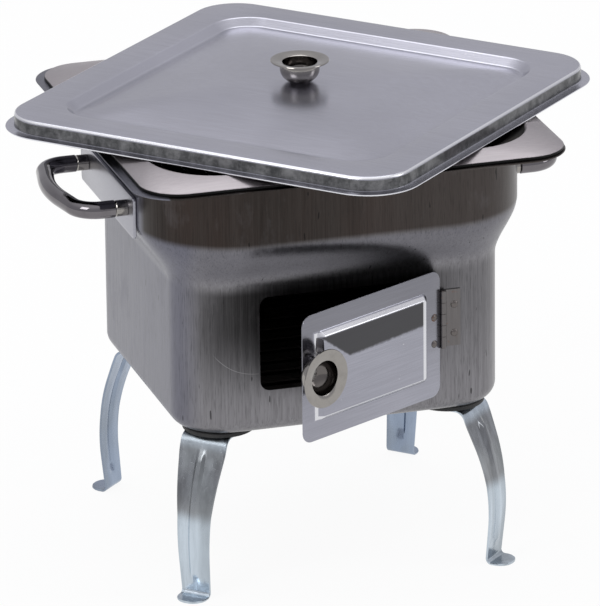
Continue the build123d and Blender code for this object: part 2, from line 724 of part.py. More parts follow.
# Leg line: the corners of a leg's outer face, as reach from the Z axis and height, and their bends.
# A bend is marked 1 where the strip's back face lies on the outside of the turn, and -1 on the inside.
leg_corners = [
    (leg_seat_reach - leg_tab_inside, pad_low_z),
    (leg_seat_reach + leg_shoulder_outside, pad_low_z),
    (leg_seat_reach + leg_bulge_outside, leg_bulge_z),
    (leg_seat_reach + leg_foot_outside, leg_sheet),
    (leg_toe_reach, leg_sheet),
]
leg_bends = [(leg_shoulder_bend, -1), (leg_bulge_bend, -1), (leg_foot_bend, 1)]


def leg_corners_at(depth):
    """The leg's corners moved back from its outer face by depth, square to the runs they join."""
    points = [Vector(reach, height) for reach, height in leg_corners]
    runs = [(end - start).normalized() for start, end in zip(points, points[1:])]
    backs = [Vector(run.Y, -run.X) for run in runs]
    moved = [points[0] + backs[0] * depth]
    for corner, before, after in zip(points[1:], backs, backs[1:]):
        moved.append(corner + (before + after) * (depth / (1 + before.dot(after))))
    moved.append(points[-1] + backs[-1] * depth)
    return moved


def leg_band(side_plane, width, near_depth, far_depth):
    """The leg's side outline between two depths behind its outer face, extruded to a width."""
    with BuildPart() as band:
        with BuildSketch(side_plane):
            with BuildLine():
                near_bends = [bend + outside * near_depth for bend, outside in leg_bends]
                far_bends = [bend + outside * far_depth for bend, outside in leg_bends]
                near_line = FilletPolyline(*leg_corners_at(near_depth), radius=near_bends)
                far_line = FilletPolyline(*leg_corners_at(far_depth), radius=far_bends)
                Line(near_line @ 0, far_line @ 0)
                Line(near_line @ 1, far_line @ 1)
            make_face()
        extrude(amount=width / 2, both=True)
    return band.part


def reach_of(edge):
    """How far an edge's middle stands from the Z axis."""
    middle = edge.center()
    return sqrt(middle.X**2 + middle.Y**2)


# Legs: tapered strips bent out under the pads, with a pressed rib and a turned-out toe
for seat_name, (seat_x, seat_y) in seats.items():
    reach_dir = Vector(seat_x, seat_y, 0).normalized()
    across_dir = reach_dir.cross(Vector(0, 0, 1))
    side_plane = Plane(origin=(0, 0, 0), x_dir=reach_dir, z_dir=across_dir)
    front_plane = Plane(origin=(0, 0, 0), x_dir=across_dir, z_dir=-reach_dir)
    rib_back = leg_sheet - leg_rib_rise
    with BuildPart() as leg:
        add(leg_band(side_plane, leg_width_top, 0, leg_sheet))
        with BuildSketch(front_plane):
            with BuildLine():
                Polyline(
                    (-leg_width_foot / 2, 0),
                    (-leg_width_bulge / 2, leg_bulge_z),
                    (-leg_width_top / 2, leg_rib_high_z),
                    (-leg_width_top / 2, pad_low_z),
                    (leg_width_top / 2, pad_low_z),
                    (leg_width_top / 2, leg_rib_high_z),
                    (leg_width_bulge / 2, leg_bulge_z),
                    (leg_width_foot / 2, 0),
                    close=True,
                )
            make_face()
        extrude(amount=-2 * leg_toe_reach, mode=Mode.INTERSECT)
        fillet(leg.edges().filter_by(Axis.Z).sort_by(reach_of)[-2:], leg_toe_radius)
    with BuildPart() as rib:
        add(leg_band(side_plane, leg_rib_width, -leg_rib_rise, leg_sheet / 2))
        with BuildSketch(Plane.XY.offset(leg_rib_low_z)):
            Rectangle(4 * leg_toe_reach, 4 * leg_toe_reach)
        extrude(amount=leg_rib_high_z - leg_rib_low_z, mode=Mode.INTERSECT)
    with BuildPart() as groove:
        add(leg_band(side_plane, leg_rib_width - 2 * leg_sheet, rib_back, 2 * leg_sheet))
        with BuildSketch(Plane.XY.offset(leg_rib_low_z + leg_sheet)):
            Rectangle(4 * leg_toe_reach, 4 * leg_toe_reach)
        extrude(amount=leg_rib_high_z - leg_rib_low_z - 2 * leg_sheet, mode=Mode.INTERSECT)
    with BuildPart() as ribbed_leg:
        add(leg.part)
        add(rib.part)
        add(groove.part, mode=Mode.SUBTRACT)
        with BuildSketch(Plane.XY.offset(pad_low_z)):
            with Locations((seat_x * leg_seat, seat_y * leg_seat)):
                Circle(bolt_radius + hole_clearance)
        extrude(amount=-leg_sheet, mode=Mode.SUBTRACT)
    save(ribbed_leg.part, f"leg_{seat_name}")

# Leg bolts: pan heads on the tub's floor, shanks down through floor, pad and leg
bolt_low_z = pad_low_z - leg_sheet - nut_height - bolt_end
with BuildPart() as leg_bolts:
    with BuildSketch(Plane.XY.offset(tub_floor_z + sheet)):
        with GridLocations(2 * leg_seat, 2 * leg_seat, 2, 2):
            Circle(bolt_head_radius)
    extrude(amount=bolt_head_height)
    fillet(leg_bolts.edges().group_by(Axis.Z)[-1], bolt_head_height / 2)
    with BuildSketch(Plane.XY.offset(bolt_low_z)):
        with GridLocations(2 * leg_seat, 2 * leg_seat, 2, 2):
            Circle(bolt_radius)
    extrude(amount=tub_floor_z + sheet - bolt_low_z)
save(leg_bolts.part, "leg_bolts")

# Leg nuts: under the legs' tabs
with BuildPart() as leg_nuts:
    with BuildSketch(Plane.XY.offset(pad_low_z - leg_sheet)):
        with GridLocations(2 * leg_seat, 2 * leg_seat, 2, 2):
            RegularPolygon(nut_flats_radius, 6, major_radius=False)
            Circle(bolt_radius, mode=Mode.SUBTRACT)
    extrude(amount=-nut_height)
save(leg_nuts.part, "leg_nuts")
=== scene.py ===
# %% [markdown]
# This lesson dresses a small square charcoal barbecue of pressed stainless steel. The construction, its
# sizes and its joints come from a fixed frame that is loaded first. What is made here is the look: smooth
# pressed sheets, spun knobs, bent tubes and strip legs, each in the same place as the plain piece that it
# stands for.

# %% Load the frame
import math

import bmesh
import bpy
from mathutils import Matrix, Vector


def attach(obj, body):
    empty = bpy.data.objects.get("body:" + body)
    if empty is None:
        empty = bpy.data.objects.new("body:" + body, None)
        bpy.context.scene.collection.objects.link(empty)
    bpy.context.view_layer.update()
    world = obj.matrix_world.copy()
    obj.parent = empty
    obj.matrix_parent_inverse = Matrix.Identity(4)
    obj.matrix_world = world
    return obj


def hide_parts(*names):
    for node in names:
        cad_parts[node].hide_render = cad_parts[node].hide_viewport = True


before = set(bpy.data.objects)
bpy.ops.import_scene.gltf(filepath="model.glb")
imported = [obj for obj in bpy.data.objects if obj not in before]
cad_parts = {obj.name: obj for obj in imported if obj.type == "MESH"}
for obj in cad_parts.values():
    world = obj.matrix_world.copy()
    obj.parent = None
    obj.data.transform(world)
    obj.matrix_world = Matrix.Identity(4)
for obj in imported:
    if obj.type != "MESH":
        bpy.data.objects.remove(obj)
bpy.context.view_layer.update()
print("nodes:", len(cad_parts))

# %% [markdown]
# The photograph was taken from far away with a long lens, a little to the left of the door and about
# twenty degrees above level. A long lens keeps the lid's far edge nearly as long as its near edge, so
# the camera stands 5.7 metres off. Its place and turn were fitted to the corners of the feet, the frame
# and the lid.

# %% Camera
MM = 0.001
PHOTO_WIDTH = 600
PHOTO_HEIGHT = 606
CAMERA_PLACE = Vector((-1513.2, -5076.6, 2096.5)) * MM
CAMERA_YAW = math.radians(16.61)
CAMERA_PITCH = math.radians(19.84)
CAMERA_ROLL = math.radians(-0.61)
FOCAL_PIXELS = 7191.6
SENSOR = 36.0

forward = Vector((
    math.sin(CAMERA_YAW) * math.cos(CAMERA_PITCH),
    math.cos(CAMERA_YAW) * math.cos(CAMERA_PITCH),
    -math.sin(CAMERA_PITCH),
))
level_right = Vector((math.cos(CAMERA_YAW), -math.sin(CAMERA_YAW), 0))
level_up = level_right.cross(forward)
right = level_right * math.cos(CAMERA_ROLL) + level_up * math.sin(CAMERA_ROLL)
up = right.cross(forward)


def placed(name, data):
    """A new object of the scene, at the origin."""
    made = bpy.data.objects.new(name, data)
    bpy.context.scene.collection.objects.link(made)
    return made


camera = placed("camera", bpy.data.cameras.new("camera"))
camera.data.lens = FOCAL_PIXELS * SENSOR / max(PHOTO_WIDTH, PHOTO_HEIGHT)
camera.data.sensor_width = SENSOR
camera.data.clip_end = 100
camera.matrix_world = Matrix((
    (right.x, up.x, -forward.x, CAMERA_PLACE.x),
    (right.y, up.y, -forward.y, CAMERA_PLACE.y),
    (right.z, up.z, -forward.z, CAMERA_PLACE.z),
    (0, 0, 0, 1),
))
bpy.context.scene.camera = camera
bpy.context.scene.view_settings.view_transform = "Standard"
print("lens, mm:", round(camera.data.lens, 1))

# %% [markdown]
# Node graphs are easier to read as sums and products than as boxes and wires. The class below wraps one
# output of a node, so that an expression such as 1 - mask adds its own Math nodes.

# %% A socket that can be calculated with
class Signal:
    """One output socket of a graph, with the operators that add Math nodes."""

    def __init__(self, graph, socket):
        self.graph = graph
        self.socket = socket

    def math(self, operation, first, second):
        return self.graph.node("ShaderNodeMath", {"operation": operation}, {0: first, 1: second})

    def __add__(self, other):
        return self.math("ADD", self, other)

    def __sub__(self, other):
        return self.math("SUBTRACT", self, other)

    def __rsub__(self, other):
        return self.math("SUBTRACT", other, self)

    def __mul__(self, other):
        return self.math("MULTIPLY", self, other)

    __radd__ = __add__
    __rmul__ = __mul__

    def size(self):
        """The value without its sign."""
        return self.math("ABSOLUTE", self, 0)

    def larger(self, other):
        """The larger of two values."""
        return self.math("MAXIMUM", self, other)

    def between(self, low, high):
        """0 up to low, 1 from high on, and a smooth rise in between."""
        settings = {"interpolation_type": "SMOOTHSTEP"}
        return self.graph.node("ShaderNodeMapRange", settings, {"Value": self, 1: low, 2: high})

    def within(self, rise, fall):
        """1 between two pairs of limits: one over which it rises, and one over which it falls again."""
        return self.between(*rise) * (1 - self.between(*fall))


# %% [markdown]
# Every other kind of node comes from one method of a graph. Materials, the world and the Geometry Nodes
# trees further down all use it. A finish is a graph that ends in a Principled shader.

# %% A graph, and a finish
class Graph:
    """The nodes of a material, a world or a geometry tree."""

    def __init__(self, tree):
        self.tree = tree
        tree.nodes.clear()

    def node(self, kind, settings, values, output=0):
        """Add a node, set it up, feed its sockets, and give back one of its outputs."""
        made = self.tree.nodes.new(kind)
        for key, value in settings.items():
            setattr(made, key, value)
        for key, value in values.items():
            self.feed(made.inputs[key], value)
        return Signal(self, made.outputs[output]) if made.outputs else None

    def feed(self, socket, value):
        if isinstance(value, Signal):
            self.tree.links.new(value.socket, socket)
        else:
            socket.default_value = value


class Finish(Graph):
    """A material while it is built, with the Principled shader at its end."""

    def __init__(self, name):
        self.material = bpy.data.materials.new(name)
        self.material.use_nodes = True
        super().__init__(self.material.node_tree)
        self.shader = self.tree.nodes.new("ShaderNodeBsdfPrincipled")
        self.node("ShaderNodeOutputMaterial", {}, {"Surface": Signal(self, self.shader.outputs[0])})

    def end(self, **values):
        """Feed the Principled shader's sockets, named with _ for each space, and give back the material."""
        for key, value in values.items():
            self.feed(self.shader.inputs[key.replace("_", " ")], value)
        return self.material

    def place(self, stretch=(1, 1, 1), turn=0.0):
        """Object coordinates, turned about Z and then stretched."""
        coordinates = self.node("ShaderNodeTexCoord", {}, {}, "Object")
        settings = {"vector_type": "TEXTURE"}
        turned = self.node("ShaderNodeMapping", settings, {"Vector": coordinates, "Rotation": (0, 0, turn)})
        return self.node("ShaderNodeMapping", {}, {"Vector": turned, "Scale": stretch})

    def noise(self, scale, stretch=(1, 1, 1), turn=0.0, detail=3.0, roughness=0.5):
        """Noise from 0 to 1 on object coordinates, its scale in grains a metre."""
        values = {"Scale": scale, "Detail": detail, "Roughness": roughness}
        return self.node("ShaderNodeTexNoise", {}, {"Vector": self.place(stretch, turn), **values})

    def axis(self, letter, turn=0.0):
        """One object coordinate, in metres."""
        return self.node("ShaderNodeSeparateXYZ", {}, {"Vector": self.place(turn=turn)}, letter)

    def mix(self, factor, first, second):
        """Blend two colours, written as red, green and blue."""
        settings = {"data_type": "RGBA"}
        colours = [c if isinstance(c, Signal) else (*c, 1) for c in (first, second)]
        return self.node("ShaderNodeMix", settings, {0: factor, 6: colours[0], 7: colours[1]}, 2)

    def bump(self, height, distance, strength=1.0):
        """A normal from a height of 0 to 1, whose full rise is the distance in metres."""
        values = {"Height": height, "Distance": distance, "Strength": strength}
        return self.node("ShaderNodeBump", {}, values)


def shade(colour, share):
    """A darker or lighter colour, with no channel over 1."""
    return tuple(min(channel * share, 1) for channel in colour)


# %% [markdown]
# The tub is drawn from stainless sheet and brushed up and down. Brushing leaves thousands of hair-thin
# lines, so the noise is stretched along Z until one grain is a long thin streak. The same streaks drive
# a little colour, a little roughness and a very small bump. Reflections are painted into the colour: a
# painted dark brown reflection on the upper band, a painted dark reflection on the front wall round the
# fire opening, from plain steel near the floor to almost black under the shoulder, a painted lavender
# reflection on the shoulder, and a paler, a little bluer painted reflection on the left wall.

# %% Brushed steel of the tub
STREAK = (1, 1, 0.02)

# Each pair is where a mark begins and where it is full, in metres. These are heights:
# The painted dark reflection on the front wall: where it begins, where it is full, and where it fades out
# again.
DARK_FRONT_FOOT = (0.146, 0.222)
DARK_FRONT_HEAD = (0.244, 0.256)
# The shoulder's painted lavender reflection.
SHOULDER_REFLECTION = (0.250, 0.266)
# The upper band's painted dark brown reflection.
DARK_BAND = (0.286, 0.293)
SCRATCH_FOOT = (0.192, 0.200)

# These are places from left to right, and the last is one from front to back:
# Where the front wall's painted dark reflection fades in from the left and out towards the right.
DARK_FRONT_FROM_LEFT = (-0.150, -0.090)
DARK_FRONT_TO_RIGHT = (0.040, 0.110)
# Where the left wall's and the band's left end's painted pale reflection begins.
BESIDE_LEFT_WALL = (-0.1295, -0.112)
BESIDE_LEFT_BAND = (-0.1508, -0.1490)
# The band's painted dark reflection grows paler towards the right.
PALER_TO_RIGHT = (-0.06, 0.14)
BEHIND_FRONT_WALL = (-0.128, -0.120)

SCRATCH_MIDDLE = (-0.0717, 0.223)
SCRATCH_RADIUS = 0.0425
SCRATCH_WIDTH = 0.00045


def front_dark_reflection(made, height, left_wall):
    """How much painted dark reflection the front wall gets: strongest over the opening's height, weaker
    towards the corners.
    """
    across = made.axis("X")
    from_left = across.between(*DARK_FRONT_FROM_LEFT)
    to_right = 1 - across.between(*DARK_FRONT_TO_RIGHT) * 0.7
    return height.within(DARK_FRONT_FOOT, DARK_FRONT_HEAD) * from_left * to_right * (1 - left_wall)


def arc_scratch(made, height):
    """A thin curved scratch on the front wall, left of the opening, as part of a circle."""
    beside, above = made.axis("X") - SCRATCH_MIDDLE[0], height - SCRATCH_MIDDLE[1]
    squared = beside * beside + above * above
    middle, spread = SCRATCH_RADIUS**2, 2 * SCRATCH_RADIUS * SCRATCH_WIDTH
    line = squared.within((middle - spread, middle), (middle, middle + spread))
    in_front = 1 - made.axis("Y").between(*BEHIND_FRONT_WALL)
    return line * in_front * (1 - height.between(*SCRATCH_FOOT)) * (1 - beside.between(0.0, 0.001))


def brushed_steel():
    made = Finish("brushed_steel")
    hair = made.noise(1400, STREAK, detail=4)
    band = made.noise(420, STREAK, detail=6, roughness=0.75).between(0.2, 0.8)
    cloud = made.noise(16, (1, 1, 0.25), detail=2)
    fleck = made.noise(1200, (1, 1, 0.06), detail=2, roughness=0.6).between(0.5, 0.7)
    smear = made.noise(38, (1, 1, 0.5), detail=4, roughness=0.7).between(0.52, 0.72)
    nick = made.noise(300, (1, 1, 0.2), detail=1).between(0.75, 0.78)
    height, across = made.axis("Z"), made.axis("X")
    # The upper band carries a painted dark brown reflection, with a random reddish mottle over it.
    upper_band = height.between(*DARK_BAND)
    # The shoulder carries a painted lavender reflection.
    shoulder = height.between(*SHOULDER_REFLECTION) * (1 - upper_band)
    # The left wall and the left end of the band carry a painted pale, bluish reflection.
    left_wall = 1 - across.between(*BESIDE_LEFT_WALL)
    left_band = 1 - across.between(*BESIDE_LEFT_BAND)

    # Each tone is a mix of a darker and a lighter streak.
    steel = made.mix(band, (0.16, 0.155, 0.165), (0.26, 0.255, 0.27))
    # The front wall's painted dark reflection, nearly black.
    dark_front = made.mix(band, (0.026, 0.025, 0.026), (0.060, 0.058, 0.060))
    pale = made.mix(band, (0.128, 0.128, 0.158), (0.165, 0.165, 0.200))
    brown = made.mix(band, (0.026, 0.021, 0.019), (0.050, 0.043, 0.040))

    # The walls, the shoulder and the band each get their tone and their painted reflections, and then the
    # marks of use go over all of them.
    walls = made.mix(left_wall, made.mix(front_dark_reflection(made, height, left_wall), steel, dark_front), pale)
    shaped = made.mix(shoulder * 0.6 * (1 - left_wall), walls, (0.125, 0.123, 0.145))
    mottled_band = made.mix(cloud.between(0.5, 0.72) * 0.3, brown, (0.065, 0.044, 0.038))
    # The band's painted dark reflection is paler towards the right.
    band_toned = made.mix(across.between(*PALER_TO_RIGHT) * 0.45, mottled_band, (0.10, 0.088, 0.085))
    banded = made.mix(upper_band, shaped, made.mix(left_band, band_toned, pale))
    flecked = made.mix(fleck * 0.3, banded, (0.02, 0.02, 0.02))
    nicked = made.mix(nick * 0.7, flecked, (0.01, 0.01, 0.01))
    scratched = made.mix(arc_scratch(made, height) * 0.5, nicked, (0.32, 0.32, 0.33))
    worn = made.mix(smear * 0.06, scratched, (0.40, 0.39, 0.42))
    grain = hair * 0.5 + band * 0.5
    return made.end(
        Base_Color=worn,
        Metallic=1.0,
        Roughness=0.22 + grain * 0.2 + smear * 0.06,
        Normal=made.bump(grain, 0.00012, 0.35),
    )


# %% [markdown]
# Inside, smoke has turned the same steel matt black. Soot isn't even: it is thickest where the fire stands
# and thins out to a brown film, so one wide noise blends the two and a fine one roughens them.

# %% Soot
def soot():
    made = Finish("soot")
    film = made.noise(22, detail=5, roughness=0.65)
    crumbs = made.noise(900, detail=2)
    return made.end(
        Base_Color=made.mix(film.between(0.4, 0.75), (0.004, 0.004, 0.004), (0.018, 0.014, 0.011)),
        Metallic=0.0,
        Roughness=0.75 + crumbs * 0.2,
        Specular_IOR_Level=0.25,
        Normal=made.bump(crumbs, 0.0002, 0.5),
    )


# %% [markdown]
# Lid, cooking frame and door are pressed from satin sheet. Its grain runs one way across the plate and
# is finer than the tub's streaks. Handling leaves smudges that only change the gloss, and a few short
# scratches.

# %% Satin sheet
def satin_sheet(name, colour, grain_turn=0.0, roughness=0.2, painted_light=None):
    made = Finish(name)
    grain = made.noise(1500, (0.02, 1, 1), grain_turn, detail=3)
    smudge = made.noise(14, detail=3, roughness=0.5)
    mottle = made.noise(7, detail=2)
    scratch = made.noise(420, (0.03, 1, 1), grain_turn + 0.7, detail=1).between(0.78, 0.82)
    plate = made.mix(mottle.between(0.3, 0.7), colour, shade(colour, 1.12))
    streaked = made.mix(grain.between(0.35, 0.65) * 0.25, plate, shade(colour, 0.7))
    scratched = made.mix(scratch * 0.4, streaked, (0.70, 0.70, 0.72))
    # The function given last paints each piece's light and shade into the colour: painted shadow, painted
    # highlights, painted dark reflections.
    return made.end(
        Base_Color=painted_light(made, scratched) if painted_light else scratched,
        Metallic=1.0,
        Roughness=roughness + smudge * 0.05 + grain * 0.05,
        Normal=made.bump(grain * 0.6 + scratch * 0.4, 0.00006, 0.3),
    )


# %% [markdown]
# The pressed pieces carry painted light in fixed places. The lid's short skirt is darker and blotched,
# with painted highlights along its rounded top edge and its lip; the cooking frame's turned-down edge is
# painted black as a painted shadow; and the door's raised panel has a painted dark reflection on its upper
# part, a rim darker towards the top and a painted highlight round its ridge. The masks are worked out from
# object coordinates, turned by the angle at which the lid or the door stands.

# %% Painted shadow, highlights and reflections
LID_TURN = math.radians(-46.3)
DOOR_TURN = math.radians(28.4)

# Heights on the lid and the frame, and the distance from the lid's middle at which its skirt begins
LIP_TOP = (0.3512, 0.3516)
SKIRT_FOOT = (0.3518, 0.3526)
SKIRT_HEAD = (0.3602, 0.3612)
# The band of the painted highlight along the lid's rounded top edge.
HIGHLIGHT_FOOT = (0.3610, 0.3618)
HIGHLIGHT_HEAD = (0.3624, 0.3629)
FAR_OUT = (0.146, 0.150)
# The top of the frame edge's painted shadow.
EDGE_SHADOW_HEAD = (0.3453, 0.3448)

# The panel's middle and its half sizes along the door and upwards, distances out of its edge, and its painted
# dark reflection
PANEL_MIDDLE = (-0.0778, 0.19885)
PANEL_HALF = (0.060, 0.0361)
PANEL_EDGE = (-0.001, 0.001)
RIDGE_INSIDE = (-0.0046, -0.0038)
RIDGE_OUTSIDE = (-0.0016, -0.0008)
REFLECTION_LOW_LEFT = (-0.121, 0.1985)
REFLECTION_TOP_LEFT = (-0.134, 0.231)
REFLECTION_RISE = 0.03
REFLECTION_LEAN = 1.4
REFLECTION_HEAD = (0.2298, 0.2310)
REFLECTION_RIGHT = (-0.0215, -0.0195)
RIM_DARKENS = (0.150, 0.225)


def skirt_and_highlights(made, plate):
    """A darker, blotched skirt between the lid's rounded edge and its lip, outside the sunk panel, and
    painted highlights along the rounded top edge and the lip.
    """
    height = made.axis("Z")
    far_out = made.axis("X", LID_TURN).size().larger(made.axis("Y", LID_TURN).size()).between(*FAR_OUT)
    skirt = height.within(SKIRT_FOOT, SKIRT_HEAD) * far_out
    blotches = made.noise(95, (1, 1, 0.8), detail=5, roughness=0.75).between(0.3, 0.75)
    dark_skirt = made.mix(blotches, (0.02, 0.022, 0.02), (0.17, 0.17, 0.175))
    # Painted highlights: a thin line along the rounded top edge and one along the lip.
    edge_highlight = height.within(HIGHLIGHT_FOOT, HIGHLIGHT_HEAD) * far_out
    shiny = (edge_highlight + (1 - height.between(*LIP_TOP)) * far_out * 0.8).between(0.0, 1.0)
    return made.mix(shiny * 0.8, made.mix(skirt * 0.92, plate, dark_skirt), (0.88, 0.88, 0.91))


def shaded_edge(made, plate):
    """Painted shadow: the cooking frame's turned-down edge is painted black, with a ragged upper line."""
    ragged_edge = made.noise(240, detail=3) * 0.0004
    return made.mix((made.axis("Z") + ragged_edge).between(*EDGE_SHADOW_HEAD), plate, (0.018, 0.018, 0.018))


def painted_panel_light(made, plate):
    """Painted dark reflection on the upper part of the door's panel, a rim darker towards the top, and a
    painted highlight round the panel's ridge.
    """
    height, along = made.axis("Z"), made.axis("X", DOOR_TURN)
    low_edge = REFLECTION_LOW_LEFT[1] + REFLECTION_RISE * (along - REFLECTION_LOW_LEFT[0])
    left_edge = REFLECTION_TOP_LEFT[0] + (REFLECTION_TOP_LEFT[1] - height) * REFLECTION_LEAN
    soft = made.noise(300, detail=2) * 0.002
    above = (height - low_edge + soft).between(0.009, 0.012)
    inside = (along - left_edge + soft).between(0.0, 0.003) * (1 - along.between(*REFLECTION_RIGHT))
    # The mask of the painted dark reflection on the panel.
    painted_light = (1 - height.between(*REFLECTION_HEAD)) * above * inside
    past_ends = (along - PANEL_MIDDLE[0]).size() - PANEL_HALF[0]
    past_sides = (height - PANEL_MIDDLE[1]).size() - PANEL_HALF[1]
    past = past_ends.larger(past_sides)
    # A painted highlight along the ridge round the panel.
    ridge = past.within(RIDGE_INSIDE, RIDGE_OUTSIDE)
    rim = past.between(*PANEL_EDGE) * height.between(*RIM_DARKENS)
    # The rim is darker towards the top.
    darker_rim = made.mix(rim * 0.5, plate, (0.10, 0.098, 0.105))
    painted_dark = made.mix(painted_light * 0.92, darker_rim, (0.05, 0.049, 0.05))
    return made.mix(ridge * 0.75, painted_dark, (0.80, 0.80, 0.83))


# %% [markdown]
# Knobs, handles and wires are polished. A mirror with nothing on it looks like a drawing, so there is a
# wide ripple from polishing by hand and a haze of fingermarks in the roughness.

# %% Polished metal
def polished(name, colour, roughness, ripple=0.25):
    made = Finish(name)
    haze = made.noise(130, detail=4, roughness=0.6).between(0.45, 0.75)
    wave = made.noise(60, detail=1)
    return made.end(
        Base_Color=made.mix(haze * 0.5, colour, shade(colour, 0.8)),
        Metallic=1.0,
        Roughness=roughness + haze * 0.1,
        Normal=made.bump(wave, 0.0012, ripple),
    )


# %% [markdown]
# The legs are zinc plated strip: bluish, with faint crystals called spangle and long drips of brighter and
# duller zinc down the strip. The upper half of the two front legs carries a painted dark reflection, and the
# back legs are painted bluer.

# %% Zinc plate
# Where the back legs' bluer tone begins.
FRONT_TO_BACK = (-0.05, 0.05)
# The heights of the front legs' painted dark reflection.
LEG_DARK_FOOT = (0.060, 0.072)
LEG_DARK_HEAD = (0.114, 0.122)


def zinc(name, colour=(0.43, 0.485, 0.54), painted_dark=0.0):
    made = Finish(name)
    values = {"Vector": made.place((1, 1, 0.6)), "Scale": 260}
    spangle = made.node("ShaderNodeTexVoronoi", {"feature": "F1"}, values, "Color")
    flake = made.node("ShaderNodeSeparateColor", {}, {"Color": spangle}, 0)
    drip = made.noise(110, (1, 1, 0.08), detail=4, roughness=0.6)
    dull = made.noise(30, (1, 1, 0.4), detail=3).between(0.45, 0.7)
    shiny = made.mix(drip.between(0.35, 0.7), colour, shade(colour, 1.3))
    # The back legs are painted bluer.
    behind = made.axis("Y").between(*FRONT_TO_BACK)
    bluer_behind = made.mix(behind * 0.6, shiny, (0.148, 0.20, 0.32))
    # The upper half of the front legs carries a painted dark reflection.
    upper_half = made.axis("Z").within(LEG_DARK_FOOT, LEG_DARK_HEAD)
    dark_upper = made.mix(drip.between(0.3, 0.7), (0.13, 0.125, 0.125), (0.25, 0.25, 0.26))
    plated = made.mix(upper_half * (1 - behind) * painted_dark, bluer_behind, dark_upper)
    return made.end(
        Base_Color=made.mix(dull * 0.45, plated, (0.22, 0.24, 0.25)),
        Metallic=1.0,
        Roughness=0.16 + flake * 0.08 + dull * 0.12,
        Normal=made.bump(drip * 0.7 + flake * 0.3, 0.0002, 0.35),
    )


# %% [markdown]
# The hinge is plain rolled strip that has begun to rust around its rivets. Rust isn't metallic, so the same
# mask that paints it brown also takes the metal away and makes it rough.

# %% Hinge steel with rust
def rusting(name, colour, rust_share):
    made = Finish(name)
    spread = 0.2 * rust_share
    spots = made.noise(150, detail=6, roughness=0.7).between(0.66 - spread, 0.8 - spread)
    grain = made.noise(900, (1, 1, 0.05), detail=3)
    rust = made.mix(made.noise(600, detail=3), (0.10, 0.035, 0.015), (0.27, 0.11, 0.045))
    return made.end(
        Base_Color=made.mix(spots, made.mix(grain, colour, shade(colour, 0.75)), rust),
        Metallic=1 - spots,
        Roughness=0.28 + spots * 0.5 + grain * 0.08,
        Normal=made.bump(grain * 0.4 + spots * 0.6, 0.0001, 0.4),
    )


# %% [markdown]
# The charcoal grate has been through many fires: dark scale with patches of bare, blued steel. The discs
# over the legs are matt black.

# %% Scaled steel and black disc
def scaled_steel():
    made = Finish("scaled_steel")
    scale = made.noise(45, detail=6, roughness=0.7).between(0.38, 0.62)
    pits = made.noise(700, detail=3)
    return made.end(
        Base_Color=made.mix(scale, (0.055, 0.05, 0.05), (0.018, 0.015, 0.013)),
        Metallic=1 - scale * 0.8,
        Roughness=0.4 + scale * 0.35 + pits * 0.1,
        Normal=made.bump(pits * scale, 0.0003, 0.6),
    )


def black_disc():
    made = Finish("black_disc")
    cast = made.noise(500, detail=3)
    dust = made.noise(40, detail=4).between(0.5, 0.8)
    return made.end(
        Base_Color=made.mix(dust * 0.5, (0.010, 0.010, 0.011), (0.045, 0.042, 0.040)),
        Roughness=0.5 + cast * 0.25,
        Normal=made.bump(cast, 0.0001, 0.4),
    )


# %% [markdown]
# Each finish is made once, with the colour that it has on this object. The lid and the door are turned, so
# the grain and the marks on them are turned by the same angles. The knobs' lips and bowls are one metal,
# but the bowls are darker, because a bowl mostly reflects itself.

# %% Make the finishes
TUB_STEEL = brushed_steel()
SOOT = soot()
LID_STEEL = satin_sheet("lid_steel", (0.41, 0.41, 0.465), LID_TURN, painted_light=skirt_and_highlights)
FRAME_STEEL = satin_sheet("frame_steel", (0.35, 0.325, 0.34), roughness=0.42, painted_light=shaded_edge)
DOOR_STEEL = satin_sheet("door_steel", (0.32, 0.322, 0.37), DOOR_TURN, roughness=0.14, painted_light=painted_panel_light)
KNOB_STEEL = polished("knob_steel", (0.30, 0.285, 0.27), roughness=0.12)
KNOB_BOWL = polished("knob_bowl", (0.13, 0.12, 0.115), roughness=0.12)
HANDLE_STEEL = polished("handle_steel", (0.17, 0.16, 0.17), roughness=0.06, ripple=0.15)
WIRE_CHROME = polished("wire_chrome", (0.62, 0.61, 0.60), roughness=0.14)
SCREW_STEEL = polished("screw_steel", (0.50, 0.49, 0.48), roughness=0.2)
LEG_ZINC = zinc("leg_zinc", painted_dark=0.8)
STRAP_STEEL = satin_sheet("strap_steel", (0.34, 0.34, 0.38), roughness=0.24)
FASTENER_ZINC = zinc("fastener_zinc", (0.45, 0.46, 0.47))
HINGE_STEEL = rusting("hinge_steel", (0.17, 0.16, 0.16), 0.3)
RIVET_STEEL = rusting("rivet_steel", (0.16, 0.145, 0.14), 0.6)
GRATE_STEEL = scaled_steel()
PAD_BLACK = black_disc()
print("finishes:", len(bpy.data.materials))

# %% [markdown]
# Most of this object is sheet that a press or a lathe has shaped, and such a sheet is a row of rings:
# rounded squares for the tub, the frame and the lid, circles for the knobs. Rings with the same number of
# points are joined by quads. The row goes over the outside and comes back along the inside, so that the
# sheet has its real thickness.

# %% Rings and the sheets between them
ARC_STEPS = 14
QUARTERS = ((1, 1), (-1, 1), (-1, -1), (1, -1))


def square_ring(half, corner, height, half_y=None):
    """A rounded square, or a rounded rectangle where half_y is given. It always has as many points."""
    half_y = half if half_y is None else half_y
    points = []
    for quarter, (side_x, side_y) in enumerate(QUARTERS):
        for step in range(ARC_STEPS + 1):
            angle = math.pi / 2 * (quarter + step / ARC_STEPS)
            x = side_x * (half - corner) + corner * math.cos(angle)
            y = side_y * (half_y - corner) + corner * math.sin(angle)
            points.append(Vector((x, y, height)))
    return points


def offset_rings(half, corner, section):
    """Rounded squares for a section of pairs: how far out of the half size, and at what height."""
    return [square_ring(half + out, corner + out, height) for out, height in section]


